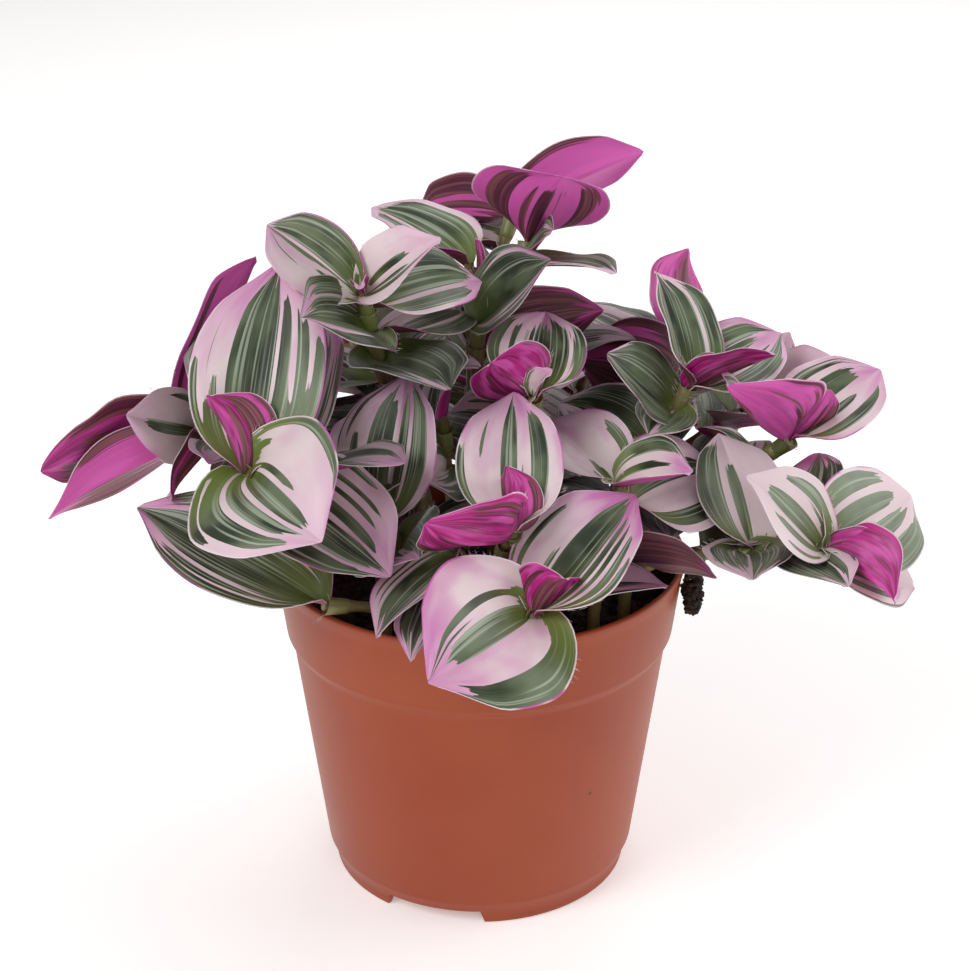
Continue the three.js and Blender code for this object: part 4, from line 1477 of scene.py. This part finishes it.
def from_nodes(name: str, mesh: bpy.types.Mesh, tree: bpy.types.NodeTree, values: dict) -> bpy.types.Object:
    """Runs a geometry tree on a mesh and keeps the result as a plain mesh.

    Args:
        name: The piece's name.
        mesh: What the tree starts from.
        tree: The geometry tree.
        values: Input name to value, for inputs that differ from their defaults.

    Returns:
        The new object, with no modifier.
    """
    carrier = bpy.data.objects.new(f"{name}_source", mesh)
    bpy.context.scene.collection.objects.link(carrier)
    modifier = carrier.modifiers.new("grow", "NODES")
    modifier.node_group = tree
    sockets = {s.name: s.identifier for s in tree.interface.items_tree if s.in_out == "INPUT"}
    for label, value in values.items():
        modifier[sockets[label]] = value
    evaluated = carrier.evaluated_get(bpy.context.evaluated_depsgraph_get())
    result = bpy.data.meshes.new_from_object(evaluated)
    bpy.data.objects.remove(carrier)
    result.name = name
    piece = bpy.data.objects.new(name, result)
    bpy.context.scene.collection.objects.link(piece)
    return piece


def stalk_tree(material: bpy.types.Material) -> bpy.types.NodeTree:
    """Builds the tree for a tube along a path, whose radius is its girth attribute.

    Args:
        material: The tube's material.

    Returns:
        The geometry tree.
    """
    tree, start = geometry_tree("stalk", {"Sides": ("NodeSocketInt", 12)})
    path = add(tree, "GeometryNodeMeshToCurve", {"Mesh": start.outputs["Geometry"]})
    girth = add(tree, "GeometryNodeInputNamedAttribute", {"Name": "girth"}, data_type="FLOAT")
    inputs = {"Resolution": start.outputs["Sides"], "Radius": 1.0}
    ring = add(tree, "GeometryNodeCurvePrimitiveCircle", inputs)
    tube = add(tree, "GeometryNodeCurveToMesh", {
        "Curve": path.outputs[0], "Profile Curve": ring.outputs[0], "Scale": girth.outputs["Attribute"],
        "Fill Caps": True,
    })
    finish_tree(tree, tube.outputs[0], material)
    return tree


def hair_tree(material: bpy.types.Material) -> bpy.types.NodeTree:
    """Builds the tree for a slim cone on each point, as long as the point's way attribute and along it.

    Args:
        material: The hairs' material.

    Returns:
        The geometry tree.
    """
    tree, start = geometry_tree("hairs", {"Thickness": ("NodeSocketFloat", 0.1 * MM)})
    named = add(tree, "GeometryNodeInputNamedAttribute", {"Name": "way"}, data_type="FLOAT_VECTOR")
    way = named.outputs["Attribute"]
    reach = add(tree, "ShaderNodeVectorMath", {"Vector": way}, operation="LENGTH").outputs["Value"]
    turn = add(tree, "FunctionNodeAlignRotationToVector", {"Vector": way}, axis="Z").outputs["Rotation"]
    inputs = {"Vertices": 3, "Radius Top": 0.0, "Radius Bottom": 1.0, "Depth": 1.0}
    cone = add(tree, "GeometryNodeMeshCone", inputs)
    girth = start.outputs["Thickness"]
    size = add(tree, "ShaderNodeCombineXYZ", {"X": girth, "Y": girth, "Z": reach}).outputs[0]
    placed = add(tree, "GeometryNodeInstanceOnPoints", {
        "Points": start.outputs["Geometry"], "Instance": cone.outputs["Mesh"], "Rotation": turn, "Scale": size,
    })
    finish_tree(tree, placed.outputs[0], material)
    return tree


def crumb_tree(material: bpy.types.Material) -> bpy.types.NodeTree:
    """Builds the tree for crumbs scattered over a surface, each turned and sized at random and uneven.

    Args:
        material: The crumbs' material.

    Returns:
        The geometry tree.
    """
    tree, start = geometry_tree("crumbs", {
        "Density": ("NodeSocketFloat", 100000.0), "Smallest": ("NodeSocketFloat", 0.5 * MM),
        "Largest": ("NodeSocketFloat", 1.6 * MM), "Seed": ("NodeSocketInt", 4),
    })
    spread = add(tree, "GeometryNodeDistributePointsOnFaces", {
        "Mesh": start.outputs["Geometry"], "Density": start.outputs["Density"], "Seed": start.outputs["Seed"],
    })
    crumb = add(tree, "GeometryNodeMeshIcoSphere", {"Radius": 1.0, "Subdivisions": 2})
    low = add(tree, "ShaderNodeCombineXYZ", {a: start.outputs["Smallest"] for a in "XYZ"})
    high = add(tree, "ShaderNodeCombineXYZ", {a: start.outputs["Largest"] for a in "XYZ"})
    scale = add(tree, "FunctionNodeRandomValue", {
        "Min": low.outputs[0], "Max": high.outputs[0], "Seed": start.outputs["Seed"],
    }, data_type="FLOAT_VECTOR")
    turn = add(tree, "FunctionNodeRandomValue", {"Min": (0, 0, 0), "Max": (6.28, 6.28, 6.28), "Seed": 7},
               data_type="FLOAT_VECTOR")
    placed = add(tree, "GeometryNodeInstanceOnPoints", {
        "Points": spread.outputs["Points"], "Instance": crumb.outputs["Mesh"],
        "Rotation": turn.outputs["Value"], "Scale": scale.outputs["Value"],
    })
    real = add(tree, "GeometryNodeRealizeInstances", {"Geometry": placed.outputs[0]})
    rough = add(tree, "ShaderNodeTexNoise", {"Scale": 900.0, "Detail": 1.0})
    inputs = {"Vector": rough.outputs["Color"], "Vector_001": (0.5, 0.5, 0.5)}
    middle = add(tree, "ShaderNodeVectorMath", inputs, operation="SUBTRACT")
    inputs = {"Vector": middle.outputs[0], "Scale": 1.5 * MM}
    shift = add(tree, "ShaderNodeVectorMath", inputs, operation="SCALE")
    uneven = add(tree, "GeometryNodeSetPosition", {"Geometry": real.outputs[0], "Offset": shift.outputs[0]})
    finish_tree(tree, uneven.outputs[0], material)
    return tree


# The pot and its soil


@dataclass
class Pot:
    """A thin-walled 12 cm nursery pot with a collar under its rim, notches in its foot ring and drain holes.

    foot_rows is how many points of the profile belong to the foot ring and the corner over it.
    """

    height: float = 101
    rim_radius: float = 60
    lip: float = 0.9
    collar_height: float = 22
    collar_foot_radius: float = 57.3
    step_height: float = 4
    body_top_radius: float = 55.4
    body_foot_radius: float = 46.7
    corner_height: float = 8
    foot_radius: float = 44.4
    foot_width: float = 2.2
    wall: float = 1.2
    floor_underside: float = 4.4
    notches: int = 3
    notch_start: float = -126
    notch_angle: float = 36
    foot_rows: int = 16
    holes: int = 5
    hole_radius: float = 4.5
    hole_circle: float = 33
    segments: int = 180

    @property
    def collar_foot(self) -> float:
        """Height of the collar's lower end."""
        return self.height - self.collar_height

    @property
    def body_top(self) -> float:
        """Height of the body's upper end, under the step out to the collar."""
        return self.collar_foot - self.step_height

    def inner_radius(self, height: float) -> float:
        """Works out the radius of the inner wall.

        Args:
            height: The height.

        Returns:
            The radius.
        """
        levels = [self.corner_height, self.body_top, self.collar_foot, self.height]
        radii = [self.body_foot_radius, self.body_top_radius, self.collar_foot_radius, self.rim_radius]
        return float(np.interp(height, levels, radii)) - self.wall

    def profile(self) -> list[tuple[float, float]]:
        """Draws the wall's outline, from under the floor round the lip to the floor's top.

        Returns:
            Rows of radius and height.
        """
        foot, width, under = self.foot_radius, self.foot_width, self.floor_underside
        outside = [(0.01, under), (foot - width - 2.4, under), (foot - width - 0.9, under - 0.3),
                   (foot - width - 0.2, under - 1.4), (foot - width, 0.5), (foot - width + 0.4, 0),
                   (foot - 0.5, 0), (foot, 0.4)]
        corner = [(self.body_foot_radius - (self.body_foot_radius - foot) * math.cos(a) ** 2.4,
                   0.4 + (self.corner_height - 0.4) * math.sin(a)) for a in np.linspace(0.15, math.pi / 2, 8)]
        step_out = self.collar_foot_radius - self.body_top_radius
        shoulder = [(self.body_top_radius + step_out * x * x * (3 - 2 * x), self.body_top + self.step_height * x)
                    for x in np.linspace(0, 1, 9)]
        collar = [(self.rim_radius - 0.55, self.height - 5.2), (self.rim_radius - 0.35, self.height - 3.6),
                  (self.rim_radius + 0.1, self.height - 2.4)]
        centre = self.rim_radius - self.lip + 0.3
        lip = [(centre + self.lip * math.cos(a), self.height - self.lip + self.lip * math.sin(a))
               for a in np.radians(np.linspace(-20, 190, 12))]
        levels = (self.height - 4, self.collar_foot, self.body_top, self.corner_height + 3)
        inside = [(self.inner_radius(z), z) for z in levels]
        low = inside[-1][0]
        floor = [(low - 0.8, self.corner_height), (low - 2.8, under + self.wall + 0.3),
                 (low - 4.5, under + self.wall), (0.01, under + self.wall)]
        under_step = (self.body_top_radius - 0.12, self.body_top - 1.2)
        return [*outside, *corner, under_step, *shoulder, *collar, *lip, *inside, *floor]

    def build(self, finish: PotFinish) -> bpy.types.Object:
        """Turns the profile, raises the notches out of the foot ring and drills the drain holes.

        Args:
            finish: The pot's finish.

        Returns:
            The piece.
        """
        profile = np.array(self.profile())
        points = turned(profile, self.segments)
        angles = np.degrees(np.linspace(0, 2 * math.pi, self.segments, endpoint=False))
        notched = (angles - self.notch_start) % (360 / self.notches) <= self.notch_angle
        foot = points[: self.foot_rows, notched, 2]
        raised = self.floor_underside * (profile[: self.foot_rows, :1] < self.foot_radius + 1.4)
        points[: self.foot_rows, notched, 2] = np.maximum(foot, raised)
        faces = ring_faces(len(profile), self.segments) + ring_caps(len(profile), self.segments)
        pot = piece_from("nursery_pot", points.reshape(-1, 3), faces, [finish.material()])
        return settle(self.drilled(pot), "pot_plastic", "pot")

    def drilled(self, pot: bpy.types.Object) -> bpy.types.Object:
        """Cuts the drain holes through the floor.

        Args:
            pot: The pot without holes.

        Returns:
            The pot.
        """
        for i in range(self.holes):
            angle = i * 2 * math.pi / self.holes
            x, y = self.hole_circle * math.cos(angle) * MM, self.hole_circle * math.sin(angle) * MM
            bpy.ops.mesh.primitive_cylinder_add(
                vertices=40, radius=self.hole_radius * MM, depth=12 * MM, location=(x, y, 5 * MM))
            drill = bpy.context.object
            cut = pot.modifiers.new("drain_hole", "BOOLEAN")
            cut.object, cut.operation, cut.solver = drill, "DIFFERENCE", "EXACT"
            plain = bpy.data.meshes.new_from_object(pot.evaluated_get(bpy.context.evaluated_depsgraph_get()))
            pot.modifiers.clear()
            pot.data = plain
            bpy.data.objects.remove(drill)
        pot.data.name = pot.name
        return pot


@dataclass
class Soil:
    """Potting mix up to 9 mm under the rim: a crumbly top, loose crumbs and a clump that hangs over."""

    top: float = 92
    relief: float = 1.1
    sink: float = 3.5
    gap: float = 0.3
    rim_radius: float = 60
    rings: int = 60
    segments: int = 160
    clump_centre: tuple[float, float, float] = (61.6, -14.0, 94.0)
    clump_half: tuple[float, float, float] = (2.4, 3.6, 7.0)
    clump_rows: int = 8
    clump_columns: int = 12
    crumb_density: float = 90000.0
    clump_density: float = 900000.0
    clump_crumbs: tuple[float, float] = (0.35, 1.1)
    clump_seed: int = 9

    def bump(self, x: np.ndarray, y: np.ndarray) -> np.ndarray:
        """Works out the height over the level: it sinks towards the wall and has finer lumps on it.

        Args:
            x: Places across.
            y: Places away from the viewer.

        Returns:
            The heights.
        """
        slow = np.sin(0.16 * x + 1.3) * np.cos(0.13 * y - 0.4)
        quick = np.sin(0.41 * x - 0.33 * y) * np.cos(0.27 * x + 0.47 * y)
        sink = (self.sink - 2 * self.relief) * (np.hypot(x, y) / self.rim_radius) ** 4
        lumps = 0.5 * np.sin(1.1 * x + 0.7 * y) * np.sin(1.3 * y - 0.5 * x)
        return self.relief * (slow + 0.7 * quick) + lumps - sink

    def build(self, pot: Pot, finish: SoilFinish) -> None:
        """Builds the filling, its loose crumbs and the clump on the rim.

        Args:
            pot: The pot that holds it.
            finish: The soil's finish.
        """
        material = finish.material()
        foot = pot.floor_underside + pot.wall + self.gap
        low = pot.inner_radius(pot.corner_height + 3) - self.gap
        profile = [(0.01, foot), (low - 5, foot), (low, pot.corner_height + 4)]
        profile += [(pot.inner_radius(z) - self.gap, z) for z in (pot.body_top, pot.collar_foot)]
        under_surface = len(profile)
        edge = pot.inner_radius(self.top - self.sink) - self.gap
        profile += [(edge * (1 - k / self.rings) + 0.01, self.top) for k in range(self.rings + 1)]
        points = turned(np.array(profile), self.segments)
        surface = points[under_surface:]
        surface[..., 2] += self.bump(surface[..., 0], surface[..., 1])
        faces = ring_faces(len(profile), self.segments) + ring_caps(len(profile), self.segments)
        settle(piece_from("soil_filling", points.reshape(-1, 3), faces, [material]), "potting_soil", "soil")
        tree = crumb_tree(material)
        bed = from_nodes("soil_crumbs", self.crumb_bed(surface), tree, {"Density": self.crumb_density})
        settle(bed, "potting_soil")
        smallest, largest = self.clump_crumbs
        settle(from_nodes("soil_clump", self.clump(), tree, {
            "Density": self.clump_density, "Smallest": smallest * MM, "Largest": largest * MM,
            "Seed": self.clump_seed,
        }), "potting_soil")

    def crumb_bed(self, surface: np.ndarray) -> bpy.types.Mesh:
        """The open surface that the loose crumbs lie on, from just inside the wall."""
        bed = surface[3:-1:3, ::4]
        return plain_mesh("crumb_bed", bed.reshape(-1, 3), faces=ring_faces(*bed.shape[:2]))

    def clump(self) -> bpy.types.Mesh:
        """Makes the lump that hangs over the rim at the right: an uneven ellipsoid.

        Returns:
            The mesh.
        """
        u, v = np.meshgrid(np.linspace(0.2, math.pi - 0.2, self.clump_rows),
                           np.linspace(0, 2 * math.pi, self.clump_columns, endpoint=False), indexing="ij")
        ball = np.stack([np.sin(u) * np.cos(v), np.sin(u) * np.sin(v), np.cos(u)], -1)
        ball *= (1 + 0.25 * np.sin(3 * v + 4 * u) * np.sin(u))[..., None]
        points = np.array(self.clump_centre) + ball * np.array(self.clump_half)
        outward = [(a, d, c, b) for a, b, c, d in ring_faces(self.clump_rows, self.clump_columns)]
        return plain_mesh("clump", points.reshape(-1, 3), faces=outward)


# The studio


@dataclass
class Studio:
    """A pale floor, soft light and a camera that looks down on the plant.

    Each light has its name, its place and width in metres, and its power in watts. wall_light is added to
    room_light where the camera sees past the floor.
    """

    camera_place: tuple[float, float, float] = (1.6, -570.0, 379.0)
    camera_pitch: float = 24.35
    sensor_width: float = 36.0
    focal_length: float = 80.08
    floor_colour: str = "fbfaf9"
    floor_roughness: float = 0.9
    floor_glow: float = 0.31
    floor_reach: float = 4000.0
    room_light: float = 0.36
    wall_light: float = 0.6
    aim: tuple[float, float, float] = (0, 0, 0.12)
    lights: tuple[tuple[str, tuple[float, float, float], float, float], ...] = (
        ("key", (-0.95, -0.85, 1.2), 0.9, 11.5),
        ("front", (0.45, -1.5, 0.8), 1.2, 3.6),
        ("fill", (1.25, 0.2, 0.6), 1.2, 7.5),
        ("back", (0.25, 1.0, 1.1), 1.0, 5.0),
    )

    def build(self) -> None:
        """Sets up the camera, the lights, the world and the floor."""
        self.camera()
        for name, place, size, power in self.lights:
            self.light(name, place, size, power)
        self.world()
        self.floor()

    def camera(self) -> None:
        """Places the camera at the view's own angle."""
        data = bpy.data.cameras.new("camera")
        data.lens, data.sensor_width = self.focal_length, self.sensor_width
        data.clip_start, data.clip_end = 0.02, 20.0
        camera = bpy.data.objects.new("camera", data)
        camera.location = [c * MM for c in self.camera_place]
        camera.rotation_euler = (math.radians(90 - self.camera_pitch), 0, 0)
        bpy.context.scene.collection.objects.link(camera)
        bpy.context.scene.camera = camera

    def light(self, name: str, place: tuple[float, float, float], size: float, power: float) -> None:
        """Adds one soft light that faces the plant.

        Args:
            name: The light's name.
            place: Its place in metres.
            size: Its width in metres.
            power: Its power in watts.
        """
        data = bpy.data.lights.new(name, "AREA")
        data.shape, data.size, data.energy = "DISK", size, power
        lamp = bpy.data.objects.new(name, data)
        lamp.location = place
        lamp.rotation_euler = (Vector(self.aim) - Vector(place)).to_track_quat("-Z", "Y").to_euler()
        bpy.context.scene.collection.objects.link(lamp)

    def world(self) -> None:
        """Fills the room with even white light, and shows a whiter wall beyond the floor."""
        world = bpy.data.worlds.new("studio")
        world.use_nodes = True
        tree = world.node_tree
        seen = add(tree, "ShaderNodeLightPath").outputs["Is Camera Ray"]
        inputs = {"Value": seen, "Value_001": self.wall_light, "Value_002": self.room_light}
        strength = add(tree, "ShaderNodeMath", inputs, operation="MULTIPLY_ADD")
        connect(tree.nodes["Background"], {"Color": "ffffff", "Strength": strength})
        bpy.context.scene.world = world
        bpy.context.scene.view_settings.view_transform = "Standard"

    def floor(self) -> None:
        """Lays the floor."""
        material, _, shader = blank_material("floor_paper")
        connect(shader, {
            "Base Color": self.floor_colour,
            "Roughness": self.floor_roughness,
            "Emission Color": self.floor_colour,
            "Emission Strength": self.floor_glow,
        })
        wide = self.floor_reach
        corners = np.array([[-wide, -wide, 0], [wide, -wide, 0], [wide, wide, 0], [-wide, wide, 0]])
        piece_from("studio_floor", corners, [(0, 1, 2, 3)], [material])


def main() -> None:
    """Builds the studio, the pot, the soil and the leafy stems in order."""
    logging.basicConfig(level=logging.INFO, format="%(name)s: %(message)s")
    Studio().build()
    pot = Pot()
    pot.build(PotFinish())
    Soil().build(pot, SoilFinish())
    materials = {side.value: LeafFinish(side).material() for side in Side}
    materials["sheath"] = StemFinish("leaf_sheath_skin").material()
    tube = stalk_tree(StemFinish("stem_skin", flesh="77703f").material())
    hairs = Hairs()
    for number, (path, leaves) in enumerate(Layout().grow()):
        LeafyStem(path, leaves, number).dress(materials, tube, hairs)
    settle(hairs.piece(HairFinish().material()), "striped_leaf")


if __name__ == "__main__":
    main()
